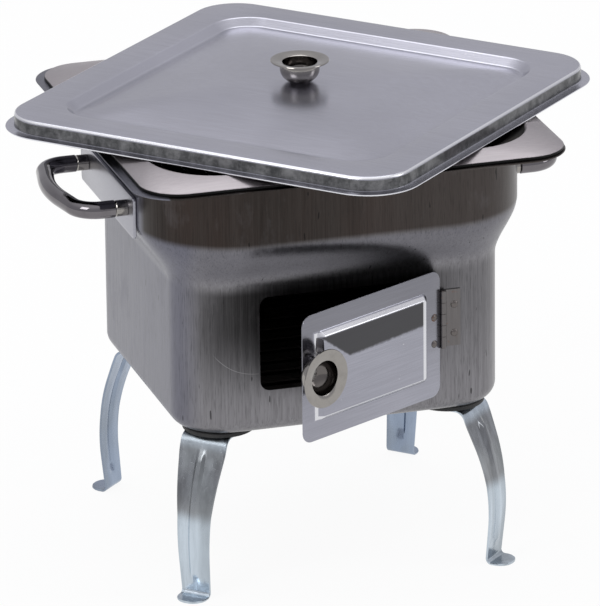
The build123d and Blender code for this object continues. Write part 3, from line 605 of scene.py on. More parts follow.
def round_ring(radius, height, count):
    """A circle, or with a count of 6 the outline of a nut."""
    angles = [2 * math.pi * step / count for step in range(count)]
    return [Vector((radius * math.cos(angle), radius * math.sin(angle), height)) for angle in angles]


def bend_ring(inner, radius, start, end, steps=5):
    """Points of an arc in section, as pairs of offset and height, round the centre that inner gives."""
    turns = [math.radians(start + (end - start) * step / steps) for step in range(steps + 1)]
    return [(inner[0] + radius * math.cos(turn), inner[1] + radius * math.sin(turn)) for turn in turns]


def plain_mesh(work):
    """The mesh that was worked on, as data for an object."""
    mesh = bpy.data.meshes.new("mesh")
    work.to_mesh(mesh)
    work.free()
    return mesh


def sheet_mesh(rings, place=Matrix.Identity(4), loop=False, second=()):
    """Join the rings into one closed mesh. Bands of faces with a number in second take the second finish."""
    work = bmesh.new()
    rows = [[work.verts.new((place @ point) * MM) for point in ring] for ring in rings]
    bands = list(zip(rows, rows[1:]))
    if loop:
        bands.append((rows[-1], rows[0]))
    for number, (low, high) in enumerate(bands):
        for here in range(len(low)):
            there = (here + 1) % len(low)
            face = work.faces.new((low[here], low[there], high[there], high[here]))
            face.material_index = 1 if number in second else 0
    if not loop:
        work.faces.new(rows[0])
        work.faces.new(rows[-1]).material_index = 1 if len(bands) - 1 in second else 0
    bmesh.ops.recalc_face_normals(work, faces=work.faces)
    return plain_mesh(work)


def piece(name, mesh, finishes, body, nodes, crease=32):
    """Show a mesh as a piece: its finishes, its smoothness, its body, and the nodes it stands for."""
    made = placed(name, mesh)
    numbers = [min(face.material_index, len(finishes) - 1) for face in mesh.polygons]
    mesh.materials.clear()
    for material in finishes:
        mesh.materials.append(material)
    for face, number in zip(mesh.polygons, numbers):
        face.material_index = number
    mesh.shade_smooth()
    mesh.set_sharp_from_angle(angle=math.radians(crease))
    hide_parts(*nodes)
    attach(made, body)
    print(name, "faces:", len(mesh.polygons))
    return made


# %% [markdown]
# The tub is one deep drawn piece. Its lower box is narrower, and its corners are tighter, than the band
# above, and the shoulder between them is an S curve. The rings here follow the same ease-in, ease-out curve
# as the construction, with three times as many steps, so that the shoulder's highlight is one smooth line.

# %% Section of the tub
SHEET = 1.0
TUB_FLOOR = 131.0
TUB_HALF = 130.5
TUB_CORNER = 42.0
FLOOR_BEND = 12.0
SHOULDER_LOW = 248.0
SHOULDER_HIGH = 292.0
SHOULDER_STEPS = 24
BAND_HALF = 151.0
BAND_CORNER = 75.0
RIM_TOP = 342.5
RIM_HALF = 172.0
RIM_CORNER = 36.0


def ease(share):
    """A share of the way, slow at both ends."""
    return share * share * (3 - 2 * share)


def tub_wall(inset):
    """Rings of the tub from its floor to the top of its shoulder, moved in by the inset."""
    bend_centre = (-FLOOR_BEND, TUB_FLOOR + FLOOR_BEND)
    bend = bend_ring(bend_centre, FLOOR_BEND - inset, -90, 0, 10)
    rings = offset_rings(TUB_HALF, TUB_CORNER, bend)
    for step in range(SHOULDER_STEPS + 1):
        share = step / SHOULDER_STEPS
        half = TUB_HALF + (BAND_HALF - TUB_HALF) * ease(share) - inset
        corner = TUB_CORNER + (BAND_CORNER - TUB_CORNER) * ease(share) - inset
        rings.append(square_ring(half, corner, SHOULDER_LOW + (SHOULDER_HIGH - SHOULDER_LOW) * share))
    return rings


outside = tub_wall(0)
inside = tub_wall(SHEET)
mouth_section = [
    (BAND_HALF, BAND_CORNER, 3.5),
    (BAND_HALF + 0.8, BAND_CORNER - 1, 1.8),
    (BAND_HALF + 2.5, BAND_CORNER - 4, SHEET),
    (RIM_HALF - 0.3, RIM_CORNER - 0.3, SHEET),
    (RIM_HALF, RIM_CORNER, 0.7),
    (RIM_HALF, RIM_CORNER, 0.3),
    (RIM_HALF - 0.3, RIM_CORNER - 0.3, 0),
    (BAND_HALF + 1.5, BAND_CORNER - 3, 0),
    (BAND_HALF - 0.4, BAND_CORNER - 1.8, 0.9),
    (BAND_HALF - SHEET, BAND_CORNER - SHEET, 2.8),
]
mouth = [square_ring(half, corner, RIM_TOP - drop) for half, corner, drop in mouth_section]
tub_rings = outside + mouth + inside[::-1]
sooty = range(len(outside) + len(mouth) - 2, len(tub_rings))
tub_mesh = sheet_mesh(tub_rings, second=sooty)
print("tub rings:", len(tub_rings))

# %% [markdown]
# The fire opening is cut out of the front wall. A Boolean modifier does it with a rounded block, whose mesh
# is thrown away afterwards. The wall is flat there, so the cut leaves no mark in the shading.

# %% Cut the fire opening
OPENING_HALF = 70.0
OPENING_LOW = 166.0
OPENING_HIGH = 242.0
OPENING_CORNER = 8.0
opening_middle = (OPENING_LOW + OPENING_HIGH) / 2
opening_half_height = (OPENING_HIGH - OPENING_LOW) / 2
facing_front = Matrix.Rotation(math.radians(90), 4, "X")


def changed(mesh, kind, settings, inputs):
    """The plain mesh that a modifier makes of a mesh, from its settings and a tree's inputs."""
    host = placed("host", mesh)
    modifier = host.modifiers.new("change", kind)
    for key, value in settings.items():
        setattr(modifier, key, value)
    for key, value in inputs.items():
        modifier[key] = value
    host.update_tag()
    seen = host.evaluated_get(bpy.context.evaluated_depsgraph_get())
    result = bpy.data.meshes.new_from_object(seen)
    bpy.data.objects.remove(host)
    return result


CUT_DEPTHS = (TUB_HALF - 6, TUB_HALF + 6)
block = [square_ring(OPENING_HALF, OPENING_CORNER, depth, opening_half_height) for depth in CUT_DEPTHS]
at_opening = Matrix.Translation((0, 0, opening_middle)) @ facing_front
for material in (TUB_STEEL, SOOT):
    tub_mesh.materials.append(material)
cutter = placed("cutter", sheet_mesh(block, at_opening))
cutting = {"operation": "DIFFERENCE", "solver": "EXACT", "object": cutter}
tub_mesh = changed(tub_mesh, "BOOLEAN", cutting, {})
bpy.data.objects.remove(cutter)
piece("tub", tub_mesh, (TUB_STEEL, SOOT), "tub", ["body_tub"])

# %% [markdown]
# The cooking frame hangs in the tub's mouth. Its edge is turned down all round, its flange rises a
# little towards the mouth, and from there a funnel and a collar go down to the ledge that carries the
# grate. It lies three millimetres to the right.

# %% Cooking frame
FRAME_SHIFT = 3.0
FRAME_HALF = 168.0
FRAME_CORNER = 32.0
FRAME_LOW = 342.8
FRAME_EDGE = 345.2
FRAME_TOP = 350.2
COLLAR_HALF = 145.0
COLLAR_CORNER = 70.0
COLLAR_LOW = 308.0
MOUTH_HALF = 150.0
MOUTH_CORNER = 54.0
LEDGE_WIDTH = 18.0
COLLAR_FLOOR = COLLAR_LOW + SHEET
COLLAR_HIGH = FRAME_EDGE - SHEET
frame_place = Matrix.Translation((FRAME_SHIFT, 0, 0))

frame_top = [(0, FRAME_LOW), (0, FRAME_EDGE - 0.9), (-0.25, FRAME_EDGE - 0.3), (-0.9, FRAME_EDGE + 0.1)]
mouth_drops = [(1.0, 0.25), (0.2, 0.1), (-0.6, 0.5), (-1.2, 1.3)]
mouth_top = [(out, FRAME_TOP - drop) for out, drop in mouth_drops]
collar_inside = [
    (0, COLLAR_HIGH),
    (0, COLLAR_FLOOR + 1.5),
    (-0.5, COLLAR_FLOOR + 0.5),
    (-1.5, COLLAR_FLOOR),
    (-LEDGE_WIDTH, COLLAR_FLOOR),
    (-LEDGE_WIDTH, COLLAR_LOW),
]
collar_outside = [(-1.5, COLLAR_LOW), (0, COLLAR_LOW + 1.5), (0, COLLAR_HIGH)]
frame_rings = (
    offset_rings(FRAME_HALF, FRAME_CORNER, frame_top)
    + offset_rings(MOUTH_HALF, MOUTH_CORNER, mouth_top)
    + offset_rings(COLLAR_HALF - SHEET, COLLAR_CORNER - SHEET, collar_inside)
    + offset_rings(COLLAR_HALF, COLLAR_CORNER, collar_outside)
    + offset_rings(MOUTH_HALF, MOUTH_CORNER, [(-0.2, FRAME_TOP - SHEET - 0.6)])
    + offset_rings(FRAME_HALF, FRAME_CORNER, [(-SHEET, COLLAR_HIGH), (-SHEET, FRAME_LOW)])
)
sooty_from = len(frame_top) + len(mouth_top) - 1
sooty_to = sooty_from + len(collar_inside) + len(collar_outside) + 1
frame_mesh = sheet_mesh(frame_rings, frame_place, loop=True, second=range(sooty_from, sooty_to))
piece("cooking_frame", frame_mesh, (FRAME_STEEL, SOOT), "frame", ["grill_frame"])

# %% [markdown]
# The lid is a shallow pressed square, turned on the frame. From the middle out it has a crown that
# carries the knob, a flat ring, a sloping wall up to the raised border, a rounded edge, a short skirt
# and an outward lip. Every bend of a pressing has a radius, and these thin rounded lines are what
# catches the light, so each bend is a few rings. The underside stands a hair above its true place,
# because the nut under it has its face there, and two faces in one plane can't be told apart.

# %% Lid
LID_HALF = 170.5
LID_CORNER = 35.0
LIP = 7.0
LID_LOW = 350.5
LID_TOP = 363.0
LID_FLOOR = 357.0
RECESS_HALF = 140.5
RECESS_CORNER = 32.0
LID_STEP = 6.0
LID_RING = 4.0
CROWN = 10.5
CROWN_SEAT = 13.0
CROWN_SEAT_CORNER = 12.0
CROWN_STEPS = 18
LID_BEND = 2.5
UNDER_GAP = 0.02
lid_place = Matrix.Translation((FRAME_SHIFT, 0, 0)) @ Matrix.Rotation(LID_TURN, 4, "Z")


def lid_face(inset):
    """Rings of the lid from the middle of its crown to the top of its lip, moved down and in by the inset."""
    floor_half = RECESS_HALF + inset - LID_STEP
    floor_corner = RECESS_CORNER + inset - LID_STEP
    rings = []
    for step in range(CROWN_STEPS + 1):
        share = 1 - step / CROWN_STEPS
        half = floor_half - LID_RING + (CROWN_SEAT - floor_half + LID_RING) * share
        corner = floor_corner - LID_RING + (CROWN_SEAT_CORNER - floor_corner + LID_RING) * share
        height = LID_FLOOR - inset + CROWN * (1 - (1 - share) ** 2)
        rings.append(square_ring(half, corner, height))
    slope = [(-1.2, 0), (-0.3, 0.15), (0.5, 0.7), (5.5, 5.3), (6.3, 5.85), (7.2, 6.0)]
    wall = [(out, LID_FLOOR - inset + rise) for out, rise in slope]
    edge = bend_ring((-LID_BEND, LID_TOP - LID_BEND), LID_BEND - inset, 90, 0)
    return rings + offset_rings(floor_half, floor_corner, wall) + offset_rings(LID_HALF, LID_CORNER, edge)


lip_shown = [(0.0, 2.6), (0.35, 1.5), (1.5, 1.0), (LIP - 0.3, 1.0), (LIP, 0.7), (LIP, 0.3), (LIP - 0.3, 0.0)]
lip_under = [(0.8, 0.0), (-0.6, 0.7), (-SHEET, 2.2)]
lip_section = [(out, LID_LOW + rise) for out, rise in lip_shown + lip_under]
lid_outside = lid_face(0)
lid_lip = offset_rings(LID_HALF, LID_CORNER, lip_section)
lid_rings = lid_outside + lid_lip + lid_face(SHEET - UNDER_GAP)[::-1]
lid_under = range(len(lid_outside) + len(lip_shown), len(lid_rings))
lid_mesh = sheet_mesh(lid_rings, lid_place, second=lid_under)
piece("lid", lid_mesh, (LID_STEEL, SOOT), "lid", ["lid_shell"])

# %% [markdown]
# The door is a flat plate with a panel pressed outwards. It is modelled in its own directions, along the
# plate, up, and out of the plate, and one matrix stands it on the hinge at the angle at which the
# photograph shows it.

# %% Door
HINGE = Vector((76.0, -133.3, 0.0))
DOOR_MIDDLE = (-77.8, 198.85)
DOOR_HALF = (75.0, 51.15)
DOOR_CORNER = 9.0
DOOR_MARGIN = 15.0
DOOR_FACE = -0.5
along = Vector((math.cos(DOOR_TURN), math.sin(DOOR_TURN), 0))
outward = Vector((math.sin(DOOR_TURN), -math.cos(DOOR_TURN), 0))
door_place = Matrix((
    (along.x, 0, outward.x, HINGE.x),
    (along.y, 0, outward.y, HINGE.y),
    (0, 1, 0, 0),
    (0, 0, 0, 1),
))


def door_ring(inset, corner, height):
    """A ring of the door, as far inside its edge as the inset says."""
    ring = square_ring(DOOR_HALF[0] - inset, corner, height, DOOR_HALF[1] - inset)
    return [point + Vector((*DOOR_MIDDLE, 0)) for point in ring]


def panel_rings(level):
    """The pressed panel's rings over a level of the plate, from the panel's top out to the flat plate."""
    flank = [(4.6, 2.0, 4.0), (4.0, 2.4, 3.92), (3.4, 2.9, 3.5)]
    flank += [(0.7, 4.6, 0.5), (0.1, 5.0, 0.1), (-0.8, 5.8, 0.0)]
    return [door_ring(DOOR_MARGIN + inset, corner, level + rise) for inset, corner, rise in flank]


rim = [(0.35, 0.0), (0.1, -0.1), (0.0, -0.35), (0.0, -0.65), (0.1, -0.9), (0.35, -1.0)]
door_edge = [door_ring(inset, DOOR_CORNER - inset, DOOR_FACE + rise) for inset, rise in rim]
door_front = panel_rings(DOOR_FACE) + door_edge
door_rings = door_front + panel_rings(DOOR_FACE - SHEET)[::-1]
door_mesh = sheet_mesh(door_rings, door_place, second=range(len(door_front) - 1, len(door_rings)))
piece("door", door_mesh, (DOOR_STEEL, SOOT), "door", ["door_panel"])

# %% [markdown]
# Both knobs are the same spun cup: a disc pressed over a former on a lathe. The section is drawn once,
# from the middle of the base out and round the lip, and a ring is spun for each of its points. Its lip
# is rolled over, so it is thicker and rounder than the sheet.

# %% Cup knobs
KNOB_BASE = 8.0
KNOB_MOUTH = 15.0
KNOB_RIM = 23.0
KNOB_HEIGHT = 18.0
BOWL_TOP = 15.0
WALL = 1.2
BULGE = 3.4
BOWL_STEPS = 12
HOLE = 2.7


def bowl_line(start, end, bulge):
    """Points from start to end in section, bowed sideways by the bulge."""
    start, end = Vector(start), Vector(end)
    side = Vector((end.y - start.y, start.x - end.x)).normalized()
    shares = [step / BOWL_STEPS for step in range(BOWL_STEPS + 1)]
    return [start.lerp(end, share) + side * bulge * 4 * share * (1 - share) for share in shares]


bowl_outside = bowl_line((KNOB_BASE, 0.4), (KNOB_MOUTH, BOWL_TOP), BULGE)
bowl_inside = bowl_line((KNOB_MOUTH - WALL, BOWL_TOP + WALL), (KNOB_BASE - WALL, WALL), -BULGE)
lip_roll = [
    (KNOB_MOUTH + 1.2, BOWL_TOP + 0.35),
    (KNOB_RIM - 1.3, KNOB_HEIGHT - 1.4),
    (KNOB_RIM - 0.3, KNOB_HEIGHT - 1.1),
    (KNOB_RIM, KNOB_HEIGHT - 0.6),
    (KNOB_RIM - 0.3, KNOB_HEIGHT - 0.1),
    (KNOB_RIM - 1.2, KNOB_HEIGHT),
    (KNOB_MOUTH, BOWL_TOP + WALL + 0.45),
]
knob_section = [(HOLE, 0), (KNOB_BASE - 0.4, 0)] + bowl_outside + lip_roll + bowl_inside + [(HOLE, WALL)]
bowl_bands = range(2 + len(bowl_outside) + len(lip_roll), len(knob_section))


def spun(section, place=Matrix.Identity(4), count=72, second=()):
    """A section turned round its axis. If it starts away from the axis, it closes on itself round a hole."""
    has_hole = section[0][0] > 0.1
    rings = [round_ring(radius, height, count) for radius, height in section]
    return sheet_mesh(rings, place, has_hole, second)


DOOR_KNOB_ALONG = -145.3
KNOBS = (
    ("lid", Matrix.Translation((FRAME_SHIFT, 0, LID_FLOOR + CROWN))),
    ("door", door_place @ Matrix.Translation((DOOR_KNOB_ALONG, opening_middle, DOOR_FACE))),
)
for body, place in KNOBS:
    knob_mesh = spun(knob_section, place, second=bowl_bands)
    piece(f"knob_of_{body}", knob_mesh, (KNOB_STEEL, KNOB_BOWL), body, [f"{body}_knob"])

# %% [markdown]
# Bent tubes and wires follow a line. One Geometry Nodes tree turns any set of edges into tubes: Mesh to
# Curve, then Curve to Mesh with a circle of the wanted radius. The handles, the grate's rods and its rim
# all use it.

# %% Geometry Nodes for tubes
def new_tree(name, inputs):
    """A geometry tree with the named inputs, as its graph and a signal for each input."""
    tree = bpy.data.node_groups.new(name, "GeometryNodeTree")
    inputs = {"Geometry": "NodeSocketGeometry", **inputs}
    for label, kind in inputs.items():
        tree.interface.new_socket(label, in_out="INPUT", socket_type=kind)
    tree.interface.new_socket("Geometry", in_out="OUTPUT", socket_type="NodeSocketGeometry")
    graph = Graph(tree)
    entry = tree.nodes.new("NodeGroupInput")
    return graph, {label: Signal(graph, entry.outputs[label]) for label in inputs}


def end_tree(graph, shape, finish):
    """End a tree: make the copies real, set the finish, and send the result out."""
    whole = graph.node("GeometryNodeRealizeInstances", {}, {0: shape})
    painted = graph.node("GeometryNodeSetMaterial", {}, {"Geometry": whole, "Material": finish})
    graph.node("NodeGroupOutput", {}, {0: painted})
    names = [item.name for item in graph.tree.interface.items_tree if item.in_out == "INPUT"]
    print(graph.tree.name, "inputs:", names)
    return graph.tree


def grow(tree, mesh, values):
    """Run a geometry tree on a mesh, with its inputs given by name."""
    inputs = {item.name: item.identifier for item in tree.interface.items_tree if item.in_out == "INPUT"}
    by_identifier = {inputs[name]: value for name, value in values.items()}
    return changed(mesh, "NODES", {"node_group": tree}, by_identifier)


def tube_tree():
    """The tree that turns edges into tubes."""
    sizes = {"Radius": "NodeSocketFloat", "Sides": "NodeSocketInt", "Finish": "NodeSocketMaterial"}
    graph, entry = new_tree("tubes", sizes)
    line = graph.node("GeometryNodeMeshToCurve", {}, {0: entry["Geometry"]})
    outline = {"Radius": entry["Radius"], "Resolution": entry["Sides"]}
    circle = graph.node("GeometryNodeCurvePrimitiveCircle", {}, outline)
    values = {"Curve": line, "Profile Curve": circle, "Fill Caps": True}
    return end_tree(graph, graph.node("GeometryNodeCurveToMesh", {}, values), entry["Finish"])


def tubes(lines, radius, sides, finish, cyclic=False):
    """Tubes of a radius in millimetres along each of the lines."""
    mesh = bpy.data.meshes.new("lines")
    points, edges = [], []
    for line in lines:
        first = len(points)
        points += [Vector(point) * MM for point in line]
        edges += [(number, number + 1) for number in range(first, len(points) - 1)]
        if cyclic:
            edges.append((len(points) - 1, first))
    mesh.from_pydata(points, edges, [])
    return grow(TUBES, mesh, {"Radius": radius * MM, "Sides": sides, "Finish": finish})


TUBES = tube_tree()

# %% [markdown]
# A bent tube is straight between its bends. The next helper rounds the corners of a line with a true arc,
# as a tube bender does, and gives the points along it. The legs' side line is made with it too.

# %% Rounded lines
def rounded_line(corners, radii, arc_steps):
    """The corners joined by straight runs, with each inner corner replaced by an arc of its radius."""
    corners = [Vector(corner) for corner in corners]
    line = [corners[0]]
    for before, corner, after, radius in zip(corners, corners[1:], corners[2:], radii):
        back, ahead = (before - corner).normalized(), (after - corner).normalized()
        half_angle = back.angle(ahead) / 2
        middle = corner + (back + ahead).normalized() * radius / math.sin(half_angle)
        start = (corner + back * radius / math.tan(half_angle) - middle).normalized()
        end = (corner + ahead * radius / math.tan(half_angle) - middle).normalized()
        line += [middle + start.slerp(end, step / arc_steps) * radius for step in range(arc_steps + 1)]
    return line + [corners[-1]]


# %% [markdown]
# Each handle is one bent tube. It goes straight out from the wall, turns through a tight bend, runs in a
# shallow bow along the side, and comes back to the wall. The bow is what keeps the fingers off the hot tub.

# %% Handles
HANDLE_Z = 300.0
HANDLE_SPACING = 57.0
TUBE_START = 163.5
TUBE_RADIUS = 6.75
ENDS_OUT = 189.0
BOW_OUT = 200.0
HANDLE_BENDS = [19.0, 120.0, 19.0]
SIDES = (("left", -1), ("right", 1))
for side_name, side in SIDES:
    ends = [(TUBE_START, -1), (ENDS_OUT, -1), (BOW_OUT, 0), (ENDS_OUT, 1), (TUBE_START, 1)]
    corners = [(side * out, end * HANDLE_SPACING, HANDLE_Z) for out, end in ends]
    handle_mesh = tubes([rounded_line(corners, HANDLE_BENDS, 16)], TUBE_RADIUS, 48, HANDLE_STEEL)
    piece(f"tube_{side_name}", handle_mesh, (HANDLE_STEEL,), "tub", [f"handle_{side_name}"])

# %% [markdown]
# The cooking grate is a bent square of thick wire with seventeen thinner rods welded across it. It is a
# good case for the tube tree: the rods are seventeen short lines in one mesh, and the rim is one closed
# line.

# %% Cooking grate
GRATE_HALF = 131.0
GRATE_CORNER = 78.0
RIM_WIRE = 2.5
ROD_WIRE = 1.5
ROD_COUNT = 17
RIM_WIRE_Z = COLLAR_LOW + SHEET + 0.3 + RIM_WIRE
ROD_Z = RIM_WIRE_Z + RIM_WIRE + ROD_WIRE - 0.6
rods = []
for rod in range(ROD_COUNT):
    across = -GRATE_HALF + 2 * GRATE_HALF * (rod + 1) / (ROD_COUNT + 1)
    into_corner = max(0, abs(across) - (GRATE_HALF - GRATE_CORNER))
    reach = GRATE_HALF - GRATE_CORNER + math.sqrt(GRATE_CORNER**2 - into_corner**2)
    rods.append([(FRAME_SHIFT + across, y, ROD_Z) for y in (-reach, reach)])
grate_rim = [frame_place @ point for point in square_ring(GRATE_HALF, GRATE_CORNER, RIM_WIRE_Z)]


def joined(meshes):
    """Several meshes as one."""
    work = bmesh.new()
    for mesh in meshes:
        work.from_mesh(mesh)
    return plain_mesh(work)


grate_mesh = joined([
    tubes(rods, ROD_WIRE, 12, WIRE_CHROME),
    tubes([grate_rim], RIM_WIRE, 16, WIRE_CHROME, cyclic=True),
])
piece("grate", grate_mesh, (WIRE_CHROME,), "grate", ["cooking_grate"])

# %% [markdown]
# A flat strap under each handle spreads its pull over the thin wall. Sheared steel has slightly rounded
# edges, so the strap is a row of five rings instead of two.

# %% Handle straps
STRAP_HALF = 76.0
STRAP_LOW = 280.0
STRAP_HIGH = 313.0
STRAP_THICK = 2.5
STRAP_CORNER = 3.0
strap_middle = Vector((0, (STRAP_LOW + STRAP_HIGH) / 2, 0))
strap_half_height = (STRAP_HIGH - STRAP_LOW) / 2
strap_rows = [(0.4, 0.0), (0.0, 0.4), (0.0, STRAP_THICK - 0.7), (0.2, STRAP_THICK - 0.2), (0.7, STRAP_THICK)]
for side_name, side in SIDES:
    strap_place = Matrix(((0, 0, side, side * BAND_HALF), (side, 0, 0, 0), (0, 1, 0, 0), (0, 0, 0, 1)))
    rings = []
    for inset, height in strap_rows:
        ring = square_ring(STRAP_HALF - inset, STRAP_CORNER, height, strap_half_height - inset)
        rings.append([point + strap_middle for point in ring])
    strap_mesh = sheet_mesh(rings, strap_place)
    nodes = [f"handle_plate_{side_name}"]
    piece(f"strap_{side_name}", strap_mesh, (STRAP_STEEL,), "tub", nodes)

# %% [markdown]
# Each leg is a tapered zinc plated strip with a rib pressed down its middle, bent out under the tub, in
# again to the foot, and out in a short toe. It is a row of closed sections. A section is as wide as the
# strip is at that height, is rounded at its two edges, and carries the rib in front and the rib's groove
# behind.

# %% Leg sections
SEAT = 92.5
SEAT_REACH = SEAT * math.sqrt(2)
PAD_LOW = 127.0
STRIP = 1.8
RIB_RISE = 2.2
RIB_FLANK = 3.0
RIB_OUT = 4.6
RIB_LOW = 14.0
RIB_HIGH = 115.0
RIB_EASE = 5.0
RIB_STATIONS = (5.0, 4.2, 3.4, 2.6, 1.8, 0.9)
SIDE_STATIONS = 9
NARROW_HALF = 9.0
EDGE_ROUND = 0.45
TOE_ROUND = 11.0
WIDTHS = ((0.0, 12.25), (66.0, 14.5), (115.0, 20.0), (127.0, 20.0))


def half_width_at(height):
    """Half the strip's width at a height, between the widths that the table gives."""
    for (low, narrow), (high, wide) in zip(WIDTHS, WIDTHS[1:]):
        if height <= high:
            return narrow + (wide - narrow) * max(height - low, 0) / (high - low)
    return WIDTHS[-1][1]


def clamp(share):
    """The share, kept from 0 to 1."""
    return min(max(share, 0), 1)


def leg_section(half_width, rib):
    """One section as pairs of width and height over the strip's outer face, all the way round."""
    inner = half_width - 0.5
    shares = (1.0, 0.8, 0.6) if inner > NARROW_HALF else (1.0, 0.85, 0.7)
    flat = [share * inner for share in shares]
    stations = flat + [rib_x for rib_x in RIB_STATIONS if rib_x < flat[-1] - 0.2]
    while len(stations) < SIDE_STATIONS:
        stations.append(stations[-1] * 0.6)
    stations = sorted([-x for x in stations] + [0.0] + stations)
    front = [(x, rib * ease(clamp((RIB_OUT - abs(x)) / RIB_FLANK))) for x in stations]
    back = [(x, height - STRIP) for x, height in reversed(front)]
    edges = [(half_width, -EDGE_ROUND), (half_width, EDGE_ROUND - STRIP)]
    return front + edges + back + [(-x, height) for x, height in reversed(edges)]


# %% [markdown]
# The strip's side line is the same for all four legs, so its stations are worked out once: a point, the
# direction that the strip's face looks in there, and the section. The legs stand on the diagonals of the
# tub, and each one is these stations placed along its own diagonal.

# %% Stations of a leg
BULGE_Z = 66.0
LEG_CORNERS = [(-22.0, PAD_LOW), (23.0, PAD_LOW), (47.0, BULGE_Z), (40.5, STRIP), (57.0, STRIP)]
LEG_BENDS = [10.0, 150.0, 3.0]
LEG_ARC_STEPS = 14
LONGEST_RUN = 4.0
TOE_SHARES = (0.3, 0.55, 0.75, 0.9, 0.97)
leg_line = rounded_line([(SEAT_REACH + out, z, 0) for out, z in LEG_CORNERS], LEG_BENDS, LEG_ARC_STEPS)


def evened(line, longest):
    """The line with more points on its long runs, and closer ones where it ends."""
    points = [line[0]]
    for start, end in zip(line, line[1:]):
        count = max(1, math.ceil((end - start).length / longest))
        points += [start.lerp(end, step / count) for step in range(1, count + 1)]
    toe = [points[-2].lerp(points[-1], share) for share in TOE_SHARES]
    return points[:-1] + toe + [points[-1]]


leg_points = evened(leg_line, LONGEST_RUN)
leg_end = leg_points[-1]
leg_stations = []
for number, point in enumerate(leg_points):
    run = leg_points[min(number + 1, len(leg_points) - 1)] - leg_points[max(number - 1, 0)]
    run.normalize()
    to_end = leg_end.x - point.x if point.y < STRIP + 0.01 else math.inf
    half_width = half_width_at(point.y)
    if to_end < TOE_ROUND:
        half_width += math.sqrt(TOE_ROUND**2 - (TOE_ROUND - to_end) ** 2) - TOE_ROUND
    over_low, under_high = (point.y - RIB_LOW) / RIB_EASE, (RIB_HIGH - point.y) / RIB_EASE
    rib = RIB_RISE * ease(clamp(over_low)) * ease(clamp(under_high))
    leg_stations.append((point, Vector((-run.y, run.x)), leg_section(half_width, rib)))
print("stations of a leg:", len(leg_stations))

# %% [markdown]
# A leg has as many rings as stations, and the rings are joined as the tub's were.

# %% Legs
CORNER_NAMES = ("front_left", "front_right", "back_right", "back_left")
CORNER_SIDES = ((-1, -1), (1, -1), (1, 1), (-1, 1))
for name, sides in zip(CORNER_NAMES, CORNER_SIDES):
    out = Vector((*sides, 0)).normalized()
    across = Vector((-out.y, out.x, 0))
    rings = []
    for point, face, section in leg_stations:
        ring = []
        for x, height in section:
            reach, z = point.x + face.x * height, point.y + face.y * height
            ring.append(out * reach + across * x + Vector((0, 0, z)))
        rings.append(ring)
    piece(f"strip_{name}", sheet_mesh(rings), (LEG_ZINC,), "tub", [f"leg_{name}"])

# %% [markdown]
# Small turned parts come in twos and fours: ferrules, screws, rivets, discs, bolts and nuts. Each is made
# once, round the Z axis at the origin, and a second Geometry Nodes tree puts a copy at every point of a
# mesh of points, turned the way that they all face.

# %% Geometry Nodes for repeated parts
def repeat_tree():
    """The tree that puts a copy of one part at each point."""
    inputs = {"Part": "NodeSocketObject", "Turn": "NodeSocketRotation", "Finish": "NodeSocketMaterial"}
    graph, entry = new_tree("repeats", inputs)
    part = graph.node("GeometryNodeObjectInfo", {}, {"Object": entry["Part"]}, "Geometry")
    values = {"Points": entry["Geometry"], "Instance": part, "Rotation": entry["Turn"]}
    return end_tree(graph, graph.node("GeometryNodeInstanceOnPoints", {}, values), entry["Finish"])


REPEATS = repeat_tree()


def repeated(name, part_mesh, points, turn, finish, body, nodes, crease=32):
    """A copy of the part at every point, in millimetres, turned by the angles in degrees."""
    part = placed("part", part_mesh)
    places = bpy.data.meshes.new("places")
    places.from_pydata([Vector(point) * MM for point in points], [], [])
    angles = [math.radians(angle) for angle in turn]
    result = grow(REPEATS, places, {"Part": part, "Turn": angles, "Finish": finish})
    bpy.data.objects.remove(part)
    return piece(name, result, (finish,), body, nodes, crease)


# %% [markdown]
# A turned ferrule carries each end of a handle tube, with a spigot that goes into the tube. A screw from
# inside the tub holds it. Both are spun from a section, given as pairs of radius and height.

# %% Ferrules and screws of the handles
SPIGOT = [(5.6, 10.0), (5.45, 10.0), (5.45, 16.0), (2.6, 16.0)]
FERRULE = [(2.6, 0), (5.9, 0), (6.3, 0.4), (6.3, 8.6), (5.9, 9.2)] + SPIGOT
SCREW_HEAD = [(0.01, -2.6), (2.6, -2.5), (3.9, -1.9), (4.5, -0.9), (4.5, 0)]
HANDLE_SCREW = SCREW_HEAD + [(2.5, 0), (2.5, 12.0), (0.01, 12.0)]
for side_name, side in SIDES:
    for name, part, reach, finish, slot in (
        ("ferrules", spun(FERRULE, count=48), BAND_HALF + STRAP_THICK, KNOB_STEEL, "knob_steel"),
        ("screws", spun(HANDLE_SCREW, count=32), BAND_HALF - SHEET, SCREW_STEEL, "screw_steel"),
    ):
        points = [(side * reach, y, HANDLE_Z) for y in (-HANDLE_SPACING, HANDLE_SPACING)]
        nodes = [f"handle_{name}_{side_name}"]
        repeated(f"{name}_{side_name}", part, points, (0, 90 * side, 0), finish, "tub", nodes)

# %% [markdown]
# The hinge is riveted to the tub and to the door, two rivets a leaf. A set rivet has a low dome in front.
# The two on the tub also have a flattened tail inside, where the wall is thin enough to see it.

